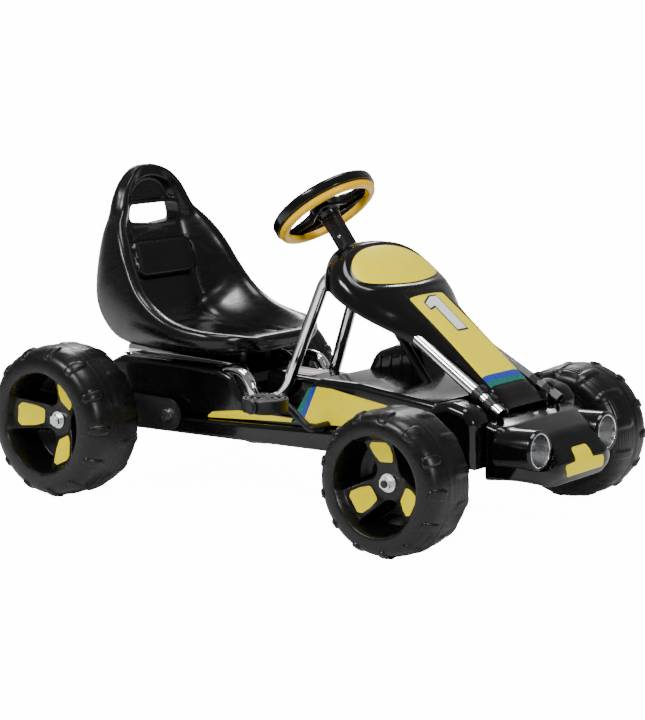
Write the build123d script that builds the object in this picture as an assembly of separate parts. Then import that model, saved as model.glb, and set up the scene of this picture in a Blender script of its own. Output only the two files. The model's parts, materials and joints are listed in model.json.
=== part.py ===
from build123d import *
import os
from math import cos, pi, sin, sqrt

# A child's pedal go kart, in millimetres. While it is drawn, X runs forward from the
# rear axle, +Y is the driver's left and Z is up from the ground. The export moves the
# kart so that its origin is at the bottom centre of its bounding box.

# Overall layout
WHEELBASE = 670.0
REAR_WHEEL_R = 127.0
FRONT_WHEEL_R = 112.0
REAR_TRACK = 543.0
FRONT_TRACK = 518.0
NOSE_REACH = 171.0          # from the front axle to the tip of the nose
REAR_AXLE_Z = REAR_WHEEL_R
FRONT_AXLE_Z = FRONT_WHEEL_R

# Clearances
RUNNING = 0.05              # radial, between a shaft and the bore it turns in
PANEL_GAP = 0.3             # between two panels that meet
CUT_CLEAR = 1.5             # round a tube or shaft that passes through a panel

# Axles and fasteners
AXLE_R = 6.0
NUT_ACROSS_R = 10.0
NUT_THICK = 9.0
WASHER_R = 14.0
WASHER_THICK = 2.0

# Wheels: half widths from the parting line, and the dish in the outer face
REAR_OUTER_HALF = 51.0
REAR_INNER_HALF = 70.5
FRONT_OUTER_HALF = 45.0
FRONT_INNER_HALF = 62.0
REAR_DISH_R = 84.0
FRONT_DISH_R = 76.0
WHEEL_WALL = 5.0
HUB_R = 22.0
HUB_FACE = 8.0              # from the parting line out to the hub's outer end
SPOKES = 3

# Steel frame
RAIL = 20.0                 # square section of the two long rails
RAIL_Y = 64.0
RAIL_Z = 126.0
CROSS_R = 8.0
BEAM_R = 12.0
KINGPIN_Y = 175.0
KINGPIN_R = 5.0
SLEEVE_R = 11.0
SLEEVE_HALF = 20.0
BRACKET_Y = 128.0           # inner face of the plate that holds the rear axle
BRACKET_THICK = 5.0
BRACKET_R = 27.0
BRACKET_BOLT_X = 108.0
BUSH_R = 12.0

# Side tubes
TUBE_R = 10.0
TUBE_WALL = 1.5
TUBE_FOOT_Y = 62.0
TUBE_APEX_Y = 44.0
TUBE_FRONT_Y = 81.0
CLAMP_AT = (50.0, 24.0)     # along the tube, back from its front end
STAY_Y = 61.0               # plate that carries the clamps
STAY_THICK = 4.0

# Plastic body
SKIN = 3.0
SILL_HALF = 126.0
BODY_HALF = 112.0
SILL_REAR_X = -72.0
SILL_FRONT_X = WHEELBASE - 114.0
PLATFORM_Z = 155.0
PLATFORM_REAR_X = 262.0
PLATFORM_FRONT_X = 385.0
COVER_HALF_Y = (96.0, 148.0)
TUNNEL_HALF = 50.0
TUNNEL_TOP_Z = 204.0
NOSE_HALF = 118.0
LAMP_Y = 95.0
LAMP_Z = 151.0
LAMP_R = 31.0
LAMP_RING_R = 25.5
COWL_REACH = 67.0           # from the front axle to the cowl's front edge
HUMP_Y = 50.0
HUMP_HALF = 36.0

# Crank and chain
CRANK_X = 434.0
CRANK_Z = 146.0
CRANK_R = 68.0
CRANK_TILT = (-0.82, 0.57)  # direction of the driver's right crank arm in X and Z
CRANK_ARM_Y = 157.0
CRANK_ROD_R = 6.0
PEDAL_LENGTH = 72.0
PEDAL_WIDTH = 66.0
PEDAL_THICK = 22.0
CHAIN_Y = 40.0
CHAIN_PITCH = 12.7
CHAINRING_TEETH = 28
SPROCKET_TEETH = 14
SPROCKET_THICK = 3.0
CHAIN_HALF = 4.0

# Steering
WHEEL_CENTRE = (340.0, 0.0, 476.0)
COLUMN_DOWN = (0.616, 0.0, -0.788)
STEER_RIM_R = 91.0
SHAFT_R = 7.5
COLUMN_SLEEVE_R = 16.0
BRACKET_AT = (90.0, 112.0)  # along the column, the housing of its upper bush
WING_R = 8.0                # bar from that housing out to each side tube
BUSH_WALL = 3.0
PITMAN_AT = 446.0           # along the column from the steering wheel's centre
PITMAN_ARM = 40.0
STUD_R = 3.0
OPEN_EYE_R = 9.0            # the open pivot's eye, clear of the stud at full lock
STEER_ARM_BACK = 60.0
STEER_ARM_Y = 168.0
TIE_R = 4.0
TIE_EYE_THICK = 4.0
TIE_LEFT_Z = 94.5
TIE_RIGHT_Z = 88.5

# Seat
SEAT_HALF = 152.0
SEAT_BASE_Z = 234.0
SEAT_TOP_Z = 531.0
SEAT_RIM = 10.0             # width of the rim round the bowl
SLOT_HALF = 58.0            # half the width of the hand slot in the back
SEAT_RAIL_Y = 32.0
SEAT_RAIL_W = 14.0
FAIRING_TOP_Z = 212.0


# ---------------------------------------------------------------- helpers

def prism(points, half_width, y=0.0):
    """A side outline in X and Z, extruded equally to both sides of the plane at y."""
    face = make_face(Plane.XZ * Polyline(*points, close=True))
    return Pos(0, y, 0) * extrude(face, amount=half_width, both=True)


def raised(face, amount):
    """A flat outline drawn in X and Y, extruded upwards whichever way it was drawn."""
    return extrude(face, amount=amount, dir=(0, 0, 1))


def rod(start, end, radius, bore=0.0):
    """A round bar between two points, or a tube if it has a bore."""
    axis = Vector(*end) - Vector(*start)
    section = Circle(radius)
    if bore:
        section -= Circle(bore)
    return extrude(Plane(origin=start, z_dir=axis) * section, amount=axis.length)


def cross_rod(x, z, y_start, y_end, radius, bore=0.0):
    return rod((x, y_start, z), (x, y_end, z), radius, bore)


def upright(x, y, z_start, z_end, radius, bore=0.0):
    return rod((x, y, z_start), (x, y, z_end), radius, bore)


def block(x_range, y_range, z_range):
    size = [high - low for low, high in (x_range, y_range, z_range)]
    middle = [(high + low) / 2 for low, high in (x_range, y_range, z_range)]
    return Pos(*middle) * Box(*size)


def mirrored(shape):
    return mirror(shape, about=Plane.XZ)


def on_column(distance, side=0.0, across=0.0):
    """A point along the column, moved towards the ground and the rear, and across in Y."""
    x, _, z = WHEEL_CENTRE
    dx, _, dz = COLUMN_DOWN
    return (x + distance * dx + side * dz, across, z + distance * dz - side * dx)


def column_rod(start, end, radius, bore=0.0):
    return rod(on_column(start), on_column(end), radius, bore)


def hex_nut(y_start, y_end, x, z, bore):
    """A nut on an axle along Y."""
    thick = abs(y_end - y_start)
    low = min(y_start, y_end)
    section = RegularPolygon(NUT_ACROSS_R, 6) - Circle(bore)
    return extrude(Plane(origin=(x, low, z), z_dir=(0, 1, 0)) * section, amount=thick)


def ridge_z(x):
    """Height of the ridge along the top of the sill."""
    return 118.0 + max(x - 45.0, 0.0) * 0.055


# ---------------------------------------------------------------- wheels

def tread_profile(radius, outer_half, inner_half, lip_r):
    """Half a squared oval from the outer lip over the tread to the inner lip."""
    points = []
    power = 3.5
    steps = 14
    for step in range(2 * steps + 1):
        share = 1.0 - step / steps
        half = outer_half if share > 0 else inner_half
        drop = (1.0 - abs(share) ** power) ** (1.0 / power)
        points.append((share * half, lip_r + (radius - lip_r) * drop))
    return points


def road_wheel(radius, outer_half, inner_half, dish_r):
    """A moulded wheel about the Y axis, its outer face towards +Y."""
    skin_outside = tread_profile(radius, outer_half, inner_half, dish_r)
    skin_inside = tread_profile(
        radius - WHEEL_WALL, outer_half - WHEEL_WALL, inner_half - WHEEL_WALL, dish_r - WHEEL_WALL
    )
    tyre = revolve_section(skin_outside + skin_inside[::-1])
    floor = -20.0
    rim_face = outer_half - 2 * WHEEL_WALL
    dish = revolve_section([
        (floor, AXLE_R + RUNNING), (floor, dish_r - 1.0), (rim_face, dish_r - 1.0),
        (HUB_FACE, HUB_R), (HUB_FACE, AXLE_R + RUNNING),
    ])
    hub = cross_rod(0, 0, -inner_half + WHEEL_WALL, floor, HUB_R, AXLE_R + RUNNING)
    pockets = [pocket(60.0 + 360.0 * index / SPOKES, dish_r, floor + WHEEL_WALL) for index in range(SPOKES)]
    inner_web = cross_rod(0, 0, -inner_half + WHEEL_WALL, -inner_half + 2 * WHEEL_WALL, dish_r, HUB_R - 1.0)
    return tyre + dish + hub + inner_web - pockets


def pocket(angle, dish_r, floor):
    """A deep triangular pocket between two spokes."""
    near, far, half = 26.0, dish_r - 8.0, 24.0
    outline = Polyline((near, 0), (far * 0.72, -half * 1.4), (far, -half * 0.5), (far, half * 0.5),
                       (far * 0.72, half * 1.4), close=True)
    face = fillet(make_face(outline).vertices(), 5.0)
    tool = raised(face, 100.0)
    placed = Plane(origin=(0, floor, 0), x_dir=(1, 0, 0), z_dir=(0, 1, 0)) * Rot(0, 0, angle) * tool
    return placed


def revolve_section(points):
    """Revolve an outline given as (y, r) about the Y axis."""
    face = make_face(Plane.YZ * Polyline(*points, close=True))
    return revolve(face, axis=Axis.Y)


def rear_wheel():
    wheel = road_wheel(REAR_WHEEL_R, REAR_OUTER_HALF, REAR_INNER_HALF, REAR_DISH_R)
    return Pos(0, REAR_TRACK / 2, REAR_AXLE_Z) * wheel


def front_wheel():
    wheel = road_wheel(FRONT_WHEEL_R, FRONT_OUTER_HALF, FRONT_INNER_HALF, FRONT_DISH_R)
    return Pos(WHEELBASE, FRONT_TRACK / 2, FRONT_AXLE_Z) * wheel


def wheel_nut(x, z, track):
    """Washer and nut against the hub's outer end."""
    face = track / 2 + HUB_FACE
    washer = cross_rod(x, z, face, face + WASHER_THICK, WASHER_R, AXLE_R)
    nut_start = face + WASHER_THICK
    return washer + hex_nut(nut_start, nut_start + NUT_THICK, x, z, AXLE_R)


# ---------------------------------------------------------------- rear axle

def rear_axle():
    half = REAR_TRACK / 2 + HUB_FACE + WASHER_THICK + NUT_THICK + 1.0
    return cross_rod(0, REAR_AXLE_Z, -half, half, AXLE_R)


def axle_spacer():
    start = BRACKET_Y + BRACKET_THICK + 2.0
    end = REAR_TRACK / 2 - REAR_INNER_HALF + WHEEL_WALL
    return cross_rod(0, REAR_AXLE_Z, start, end, AXLE_R + 4.0, AXLE_R)


def rear_bush():
    """Nylon flanged bush in the bracket plate."""
    body = cross_rod(0, REAR_AXLE_Z, BRACKET_Y, BRACKET_Y + BRACKET_THICK, BUSH_R, AXLE_R + RUNNING)
    flange = cross_rod(0, REAR_AXLE_Z, BRACKET_Y - 2.0, BRACKET_Y, BUSH_R + 3.0, AXLE_R + RUNNING)
    return body + flange


def rear_bracket():
    """Plate from the frame's rear cross tube back to the axle."""
    outline = [(0, REAR_AXLE_Z - BRACKET_R), (BRACKET_BOLT_X, RAIL_Z - BRACKET_R),
               (BRACKET_BOLT_X, RAIL_Z + BRACKET_R), (0, REAR_AXLE_Z + BRACKET_R)]
    middle = BRACKET_Y + BRACKET_THICK / 2
    plate = prism(outline, BRACKET_THICK / 2, middle)
    ends = (BRACKET_Y, BRACKET_Y + BRACKET_THICK)
    plate += cross_rod(0, REAR_AXLE_Z, *ends, BRACKET_R)
    plate += cross_rod(BRACKET_BOLT_X, RAIL_Z, *ends, BRACKET_R)
    plate -= cross_rod(0, REAR_AXLE_Z, *ends, BUSH_R)
    return plate - cross_rod(BRACKET_BOLT_X, RAIL_Z, *ends, 4.0)


def bracket_bolt():
    start = BRACKET_Y
    end = BRACKET_Y + BRACKET_THICK
    shank = cross_rod(BRACKET_BOLT_X, RAIL_Z, start - 20.0, end, 4.0)
    washer = cross_rod(BRACKET_BOLT_X, RAIL_Z, end, end + 1.5, 9.0)
    return shank + washer + hex_nut(end + 1.5, end + 7.0, BRACKET_BOLT_X, RAIL_Z, 0.5)


# ---------------------------------------------------------------- chain drive

def pitch_radius(teeth):
    return CHAIN_PITCH / (2 * sin(pi / teeth))


def toothed_disc(teeth, x, z):
    """A flat chain sprocket with one short tooth for each link."""
    reach = pitch_radius(teeth)
    points = []
    for tooth in range(teeth):
        for share, height in ((-0.30, -3.0), (-0.12, 2.4), (0.12, 2.4), (0.30, -3.0)):
            turn = 2 * pi * (tooth + share) / teeth
            points.append(((reach + height) * cos(turn), (reach + height) * sin(turn)))
    face = make_face(Plane.XZ * Polyline(*points, close=True))
    return Pos(x, CHAIN_Y, z) * extrude(face, amount=SPROCKET_THICK / 2, both=True)


def rear_sprocket():
    hub = cross_rod(0, REAR_AXLE_Z, CHAIN_Y - 8.0, CHAIN_Y + 8.0, 16.0)
    disc = toothed_disc(SPROCKET_TEETH, 0, REAR_AXLE_Z)
    return disc + hub - cross_rod(0, REAR_AXLE_Z, 0, BODY_HALF, AXLE_R)


def chainring():
    disc = toothed_disc(CHAINRING_TEETH, CRANK_X, CRANK_Z)
    disc += cross_rod(CRANK_X, CRANK_Z, CHAIN_Y - 8.0, CHAIN_Y + 8.0, 15.0)
    disc -= cross_rod(CRANK_X, CRANK_Z, 0, BODY_HALF, CRANK_ROD_R)
    for index in range(5):
        turn = 2 * pi * index / 5
        x = CRANK_X + 33.0 * cos(turn)
        z = CRANK_Z + 33.0 * sin(turn)
        disc -= cross_rod(x, z, 0, BODY_HALF, 10.0)
    return disc


def loop_face(extra):
    """The area inside the chain's run, with the run moved out by extra."""
    rear = Pos(0, REAR_AXLE_Z) * Circle(pitch_radius(SPROCKET_TEETH) + extra)
    front = Pos(CRANK_X, CRANK_Z) * Circle(pitch_radius(CHAINRING_TEETH) + extra)
    return make_hull(rear.edges() + front.edges())


def chain():
    """Two side bands clear of the teeth, joined by the rollers of the straight runs."""
    band = Plane.XZ * (loop_face(CHAIN_HALF) - loop_face(-CHAIN_HALF))
    result = Part()
    for offset in (-3.3, 2.3):
        result += Pos(0, CHAIN_Y + offset + 1.0, 0) * extrude(band, amount=1.0)
    rear_r = pitch_radius(SPROCKET_TEETH)
    front_r = pitch_radius(CHAINRING_TEETH)
    count = int((CRANK_X - rear_r - front_r) / CHAIN_PITCH) - 3
    for index in range(count):
        share = (rear_r + (index + 2) * CHAIN_PITCH) / CRANK_X
        x = share * CRANK_X
        middle = REAR_AXLE_Z + share * (CRANK_Z - REAR_AXLE_Z)
        half = (rear_r + share * (front_r - rear_r)) / sqrt(1 - ((front_r - rear_r) / CRANK_X) ** 2)
        for z in (middle - half, middle + half):
            result += cross_rod(x, z, CHAIN_Y - 3.0, CHAIN_Y + 3.0, 2.5)
    return result


# ---------------------------------------------------------------- crank and pedals

def crank_pin(side):
    """X and Z of a pedal's spindle: side -1 is the driver's right."""
    along, up = CRANK_TILT
    return CRANK_X - side * CRANK_R * along, CRANK_Z - side * CRANK_R * up


def crank_rod():
    """One bent bar: spindle, arm, axle, arm, spindle."""
    right_x, right_z = crank_pin(-1)
    left_x, left_z = crank_pin(1)
    end = CRANK_ARM_Y + CRANK_ROD_R + PEDAL_WIDTH + 8.0
    points = [(right_x, -end, right_z), (right_x, -CRANK_ARM_Y, right_z),
              (CRANK_X, -CRANK_ARM_Y, CRANK_Z), (CRANK_X, CRANK_ARM_Y, CRANK_Z),
              (left_x, CRANK_ARM_Y, left_z), (left_x, end, left_z)]
    path = FilletPolyline(*points, radius=CRANK_ROD_R + 2.0)
    return sweep(Plane(origin=path @ 0, z_dir=path % 0) * Circle(CRANK_ROD_R), path=path)


def pedal_span():
    start = CRANK_ARM_Y + CRANK_ROD_R + 3.0
    return start, start + PEDAL_WIDTH


def pedal(side):
    """A flat rounded block with raised ribs, free on its spindle."""
    x, z = crank_pin(side)
    start, end = pedal_span()
    half = PEDAL_THICK / 2
    plate = RectangleRounded(PEDAL_LENGTH, PEDAL_WIDTH, 24.0)
    middle = side * (start + end) / 2
    body = Pos(x, middle, z - half) * extrude(plate, amount=PEDAL_THICK - 3.0)
    for ring in range(4):
        outer = 32.0 - 8.0 * ring
        rib = extrude(Circle(outer) - Circle(outer - 3.0), amount=3.0)
        body += Pos(x, middle, z + half - 3.0) * rib
    return body - cross_rod(x, z, side * start, side * end, CRANK_ROD_R + RUNNING)


def pedal_caps():
    caps = Part()
    for side in (-1, 1):
        x, z = crank_pin(side)
        inner = side * (pedal_span()[1] + 0.5)
        caps += cross_rod(x, z, inner, inner + side * 3.0, 11.0, CRANK_ROD_R)
    return caps


def crank_bushes():
    bushes = Part()
    for side in (-1, 1):
        ends = (side * (RAIL_Y - RAIL / 2), side * (RAIL_Y + RAIL / 2))
        bushes += cross_rod(CRANK_X, CRANK_Z, *ends, CRANK_ROD_R + 3.0, CRANK_ROD_R + RUNNING)
    return bushes


# ---------------------------------------------------------------- steel frame

def main_frame():
    """Two rails, their cross tubes, the front beam and what is welded to them."""
    rail_ends = (25.0, WHEELBASE - 4.0)
    bush_r = CRANK_ROD_R + 3.0
    frame = cross_rod(BRACKET_BOLT_X, RAIL_Z, -BRACKET_Y, BRACKET_Y, CROSS_R)
    column_x = on_column(408.0)[0]
    frame += cross_rod(column_x, RAIL_Z, -RAIL_Y, RAIL_Y, CROSS_R)
    frame += cross_rod(WHEELBASE, FRONT_AXLE_Z, -KINGPIN_Y, KINGPIN_Y, BEAM_R)
    for side in (-1, 1):
        frame += block(rail_ends, span(side, RAIL_Y - RAIL / 2, RAIL_Y + RAIL / 2),
                       (RAIL_Z - RAIL / 2, RAIL_Z + RAIL / 2))
        sides = (side * (RAIL_Y - RAIL / 2), side * (RAIL_Y + RAIL / 2))
        frame += cross_rod(CRANK_X, CRANK_Z, *sides, bush_r + 3.0)
        frame += tube_stay(side)
        foot_top = PLATFORM_Z + 0.7
        frame += upright(PLATFORM_REAR_X + 6.0, side * TUBE_FOOT_Y, RAIL_Z, foot_top, 7.0)
        frame += prism([(column_x - 8.0, RAIL_Z), (column_x + 8.0, RAIL_Z),
                        (column_x + 6.0, 158.0), (column_x - 10.0, 158.0)], 2.0, side * 11.0)
    frame += column_rod(396.0, 420.0, SHAFT_R + 6.0)
    for side in (-1, 1):
        middle = side * KINGPIN_Y
        frame -= upright(WHEELBASE, middle, FRONT_AXLE_Z - 30.0, FRONT_AXLE_Z + 30.0, SLEEVE_R + 8.0)
        low, high = FRONT_AXLE_Z - SLEEVE_HALF, FRONT_AXLE_Z + SLEEVE_HALF
        stub_ends = (middle - side * (SLEEVE_R + 10.0), middle)
        frame += cross_rod(WHEELBASE, FRONT_AXLE_Z, *stub_ends, BEAM_R - 2.0)
        frame += upright(WHEELBASE, middle, low, high, SLEEVE_R)
        frame -= upright(WHEELBASE, middle, low, high, KINGPIN_R + RUNNING)
        ends = (side * (RAIL_Y - RAIL), side * (RAIL_Y + RAIL))
        frame -= cross_rod(CRANK_X, CRANK_Z, *ends, bush_r)
        ends = (side * (BRACKET_Y - 24.0), side * BRACKET_Y)
        frame -= cross_rod(BRACKET_BOLT_X, RAIL_Z, *ends, 4.0)
    return frame - column_rod(390.0, 426.0, SHAFT_R + RUNNING)


def span(side, low, high):
    """A range of Y on one side of the kart, in rising order."""
    return (low, high) if side > 0 else (-high, -low)


def tube_stay(side):
    """Upright plate from the front beam to the end of a side tube."""
    x = WHEELBASE
    outline = [(x - 12.0, FRONT_AXLE_Z), (x + 12.0, FRONT_AXLE_Z), (x + 62.0, 186.0),
               (x + 62.0, 206.0), (x + 42.0, 206.0)]
    return prism(outline, STAY_THICK / 2, side * STAY_Y)


def kingpins():
    pins = Part()
    for side in (-1, 1):
        y = side * KINGPIN_Y
        pins += upright(WHEELBASE, y, FRONT_AXLE_Z - 28.0, FRONT_AXLE_Z + 30.0, KINGPIN_R)
        pins += upright(WHEELBASE, y, FRONT_AXLE_Z + 25.5, FRONT_AXLE_Z + 31.0, 9.0)
        pins += upright(WHEELBASE, y, FRONT_AXLE_Z - 31.0, FRONT_AXLE_Z - 25.5, 9.0)
    return pins


def tube_points():
    """The left side tube: rear run, dip to the platform, riser, then down to the nose."""
    foot_z = PLATFORM_Z + TUBE_R + 1.0
    return [(-38.0, TUBE_FOOT_Y, 217.0), (212.0, TUBE_FOOT_Y, 212.0),
            (232.0, TUBE_FOOT_Y, foot_z), (300.0, TUBE_FOOT_Y, foot_z),
            (388.0, TUBE_APEX_Y, 396.0), (WHEELBASE + 72.0, TUBE_FRONT_Y, 194.0)]


def side_tube(radius=TUBE_R, bore=TUBE_R - TUBE_WALL):
    path = FilletPolyline(*tube_points(), radius=[34.0, 34.0, 45.0, 40.0])
    section = Circle(radius)
    if bore:
        section -= Circle(bore)
    return sweep(Plane(origin=path @ 0, z_dir=path % 0) * section, path=path)


def tube_space():
    """Both side tubes with the clearance that panels leave round them."""
    left = side_tube(TUBE_R + CUT_CLEAR, 0.0)
    return [left, mirrored(left)]


def tube_end(distance):
    """A point on the left tube's last run, at a distance back from its front end."""
    apex, front = Vector(*tube_points()[-2]), Vector(*tube_points()[-1])
    along = (front - apex).normalized()
    return front - along * distance, along


def tube_clamp(distance):
    """A plastic saddle round the side tube, with an ear on top for its screw."""
    centre, along = tube_end(distance)
    start = centre - along * 7.0
    end = centre + along * 7.0
    saddle = rod(tuple(start), tuple(end), TUBE_R + 3.0)
    saddle += cross_rod(centre.X, centre.Z, STAY_Y + STAY_THICK / 2, centre.Y, 5.0)
    return saddle - rod(tuple(start - along), tuple(end + along), TUBE_R)


def clamp_screw(distance):
    centre, along = tube_end(distance)
    out = Vector(-along.Z, 0, along.X).normalized()
    out = out if out.Z > 0 else out * -1.0
    start = centre + out * (TUBE_R + 3.2)
    end = centre + out * (TUBE_R + 6.5)
    return rod(tuple(start), tuple(end), 5.0)


# ---------------------------------------------------------------- steering

def column_bracket():
    """Housing for the upper column bush, with a wing out to each side tube."""
    start, end = BRACKET_AT
    middle = (start + end) / 2
    wing = rod(on_column(middle, 0.0, -TUBE_APEX_Y), on_column(middle, 0.0, TUBE_APEX_Y), WING_R)
    housing = column_rod(start, end, COLUMN_SLEEVE_R)
    bracket = housing + wing - tube_solid()
    return bracket - column_rod(start - 6.0, end + 6.0, SHAFT_R + BUSH_WALL)


def bracket_space():
    """The room that the cowl leaves round the bracket's wing."""
    middle = sum(BRACKET_AT) / 2
    ends = (on_column(middle, 0.0, -TUBE_APEX_Y - CUT_CLEAR), on_column(middle, 0.0, TUBE_APEX_Y + CUT_CLEAR))
    return rod(*ends, WING_R + CUT_CLEAR)


def tube_solid():
    left = side_tube(TUBE_R, 0.0)
    return [left, mirrored(left)]


def column_bush():
    return column_rod(*BRACKET_AT, SHAFT_R + BUSH_WALL, SHAFT_R + RUNNING)


def steering_shaft():
    return column_rod(-14.0, PITMAN_AT + 14.0, SHAFT_R)


def column_sleeve():
    return column_rod(14.0, BRACKET_AT[0] - 2.0, COLUMN_SLEEVE_R, SHAFT_R)


def ring_on_column(inner, outer, start, end):
    return column_rod(start, end, outer, inner)


def steering_rim():
    return ring_on_column(STEER_RIM_R - 15.0, STEER_RIM_R, -15.0, 3.0)


def steering_grip():
    return ring_on_column(STEER_RIM_R - 20.0, STEER_RIM_R - 3.0, 3.2, 14.0)


def steering_spokes():
    hub = column_rod(-6.0, 13.8, 27.0)
    plane = Plane(origin=on_column(-3.0), x_dir=(0, 1, 0), z_dir=COLUMN_DOWN)
    reach = STEER_RIM_R - 16.5
    for index in range(SPOKES):
        spoke = Pos((reach + 20.0) / 2, 0, 0) * Box(reach - 20.0, 22.0, 9.0)
        hub += plane * (Rot(0, 0, 120.0 * index - 90.0) * spoke)
    return hub - column_rod(-20.0, 30.0, SHAFT_R)


def steering_cap():
    return column_rod(-20.0, -14.2, 24.0)


def pitman_arm():
    """Clamp on the shaft, with a plate down and back to the stud of the tie rods."""
    hub = column_rod(PITMAN_AT - 6.0, PITMAN_AT + 6.0, SHAFT_R + 5.0)
    dx, _, dz = COLUMN_DOWN
    plane = Plane(origin=on_column(PITMAN_AT), x_dir=(dz, 0, -dx), z_dir=COLUMN_DOWN)
    plate = Pos(PITMAN_ARM / 2, 0, 0) * Box(PITMAN_ARM, 15.0, 5.0)
    stud_x, stud_y, stud_z = on_column(PITMAN_AT, PITMAN_ARM)
    stud = upright(stud_x, 0, TIE_RIGHT_Z - 6.0, stud_z, STUD_R)
    return hub + plane * plate + stud - column_rod(PITMAN_AT - 9.0, PITMAN_AT + 9.0, SHAFT_R)


def steering_nut():
    end = PITMAN_AT + 6.2
    return column_rod(end, end + 5.0, SHAFT_R + 4.0, SHAFT_R)


def knuckle():
    """The left stub axle, the yoke round the beam's sleeve, and the steering arm."""
    x, y, z = WHEELBASE, KINGPIN_Y, FRONT_AXLE_Z
    low, high = z - SLEEVE_HALF - PANEL_GAP, z + SLEEVE_HALF + PANEL_GAP
    cheek = 5.0
    web = (y + SLEEVE_R + 2.0, y + SLEEVE_R + 7.0)
    body = block((x - 15.0, x + 15.0), web, (low - cheek, high + cheek))
    for start in (low - cheek, high):
        plate = block((x - 11.0, x + 11.0), (y, web[1]), (start, start + cheek))
        plate += upright(x, y, start, start + cheek, 11.0)
        body += plate
    body += cross_rod(x, z, web[0], FRONT_TRACK / 2 - FRONT_INNER_HALF + WHEEL_WALL - 0.5, 11.0)
    body += cross_rod(x, z, web[0], stub_end(), AXLE_R)
    arm_end = (x - STEER_ARM_BACK, STEER_ARM_Y)
    arm = make_face(Polyline((x - 8.0, web[0]), (x - 8.0, web[1]), (arm_end[0] - 8.0, arm_end[1] + 8.0),
                             (arm_end[0] - 8.0, arm_end[1] - 6.0), (arm_end[0] + 6.0, arm_end[1] - 6.0),
                             close=True))
    arm_z = TIE_LEFT_Z + 6.0
    body += Pos(0, 0, arm_z) * raised(arm, 5.0)
    body += upright(*arm_end, TIE_RIGHT_Z - 4.0, arm_z + 1.0, TIE_R)
    return body - upright(x, y, z - 40.0, z + 40.0, KINGPIN_R + RUNNING)


def stub_end():
    return FRONT_TRACK / 2 + HUB_FACE + WASHER_THICK + NUT_THICK + 1.0


def tie_rod(side):
    """From the steering arm's pin in to an open eye round the pitman's stud."""
    z = TIE_LEFT_Z if side > 0 else TIE_RIGHT_Z
    half = TIE_EYE_THICK / 2
    outer = Vector(WHEELBASE - STEER_ARM_BACK, side * STEER_ARM_Y, z)
    inner = Vector(on_column(PITMAN_AT, PITMAN_ARM)[0], 0, z)
    along = (inner - outer).normalized()
    body = rod(tuple(outer + along * 6.0), tuple(inner - along * 11.0), 3.0)
    body &= block((0, WHEELBASE), (-KINGPIN_Y, KINGPIN_Y), (z - half, z + half))
    body += upright(outer.X, outer.Y, z - half, z + half, TIE_R + 5.0)
    body += upright(inner.X, inner.Y, z - half, z + half, OPEN_EYE_R + 3.5)
    body -= upright(outer.X, outer.Y, z - half, z + half, TIE_R + RUNNING)
    return body - upright(inner.X, inner.Y, z - half, z + half, OPEN_EYE_R)


# ---------------------------------------------------------------- plastic body

def open_shell(points, half_width):
    """A cover with walls one skin thick, open underneath."""
    outline = make_face(Polyline(*points, close=True))
    inside = offset(outline, -SKIN, kind=Kind.INTERSECTION)
    shell = extrude(Plane.XZ * outline, amount=half_width, both=True)
    cavity = extrude(Plane.XZ * inside, amount=half_width - SKIN, both=True)
    return shell - cavity - Pos(0, 0, -2 * SKIN) * cavity


def body_tub():
    """The sill and floor, with the flat platform between the seat and the crank."""
    rear, front = SILL_REAR_X, SILL_FRONT_X
    bottom = [(rear, 90.0), (front, 108.0)]
    top = [(front, ridge_z(front)), (45.0, ridge_z(45.0)), (rear, ridge_z(rear))]
    tub = prism(bottom + top, SILL_HALF)
    hollow_bottom = [(rear + SKIN, 90.0 + SKIN), (front - SKIN, 108.0 + SKIN)]
    hollow_top = [(front - SKIN, ridge_z(front) - SKIN), (45.0, ridge_z(45.0) - SKIN),
                  (rear + SKIN, ridge_z(rear) - SKIN)]
    tub -= prism(hollow_bottom + hollow_top, SILL_HALF - SKIN)
    mouth_half = BODY_HALF - 2 * SKIN
    tub -= block((rear + SKIN, front - SKIN), (-mouth_half, mouth_half), (115.0, 200.0))
    ends = (PLATFORM_REAR_X, PLATFORM_FRONT_X)
    deck = [(ends[0], ridge_z(ends[0]) - SKIN), (ends[1], ridge_z(ends[1]) - SKIN),
            (ends[1], PLATFORM_Z), (ends[0], PLATFORM_Z)]
    cover = prism(deck, BODY_HALF)
    cover -= prism([(ends[0] - 1.0, 100.0), (ends[1] + 1.0, 100.0), (ends[1] + 1.0, PLATFORM_Z - SKIN),
                    (ends[0] - 1.0, PLATFORM_Z - SKIN)], BODY_HALF - SKIN)
    tub += cover
    tub -= block((-50.0, CRANK_X + 70.0), (CHAIN_Y - 8.0, CHAIN_Y + 8.0), (80.0, 112.0))
    return tub - shaft_space() - post_space() - rail_space() - chain_space()


def chain_space():
    """The slot through the panels round the top run of the chain and the chainring."""
    return block((PLATFORM_REAR_X - 40.0, PLATFORM_FRONT_X + 20.0), (CHAIN_Y - 7.0, CHAIN_Y + 7.0), (130.0, 207.0))


def rail_space():
    """Openings for the frame's rails, which run through the ends of the panels."""
    half = RAIL / 2 + CUT_CLEAR
    z_range = (RAIL_Z - half, RAIL_Z + half)
    ends = (0.0, WHEELBASE)
    return [block(ends, span(side, RAIL_Y - half, RAIL_Y + half), z_range) for side in (-1, 1)]


def centre_tunnel():
    """The raised cover over the chain, between the rear and the front fairing."""
    ends = (PLATFORM_REAR_X, PLATFORM_FRONT_X)
    outline = [(ends[0], PLATFORM_Z + PANEL_GAP), (ends[1], PLATFORM_Z + PANEL_GAP),
               (ends[1], TUNNEL_TOP_Z - 4.0), (ends[0], TUNNEL_TOP_Z)]
    return open_shell(outline, TUNNEL_HALF) - chain_space() - tube_space()


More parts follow.
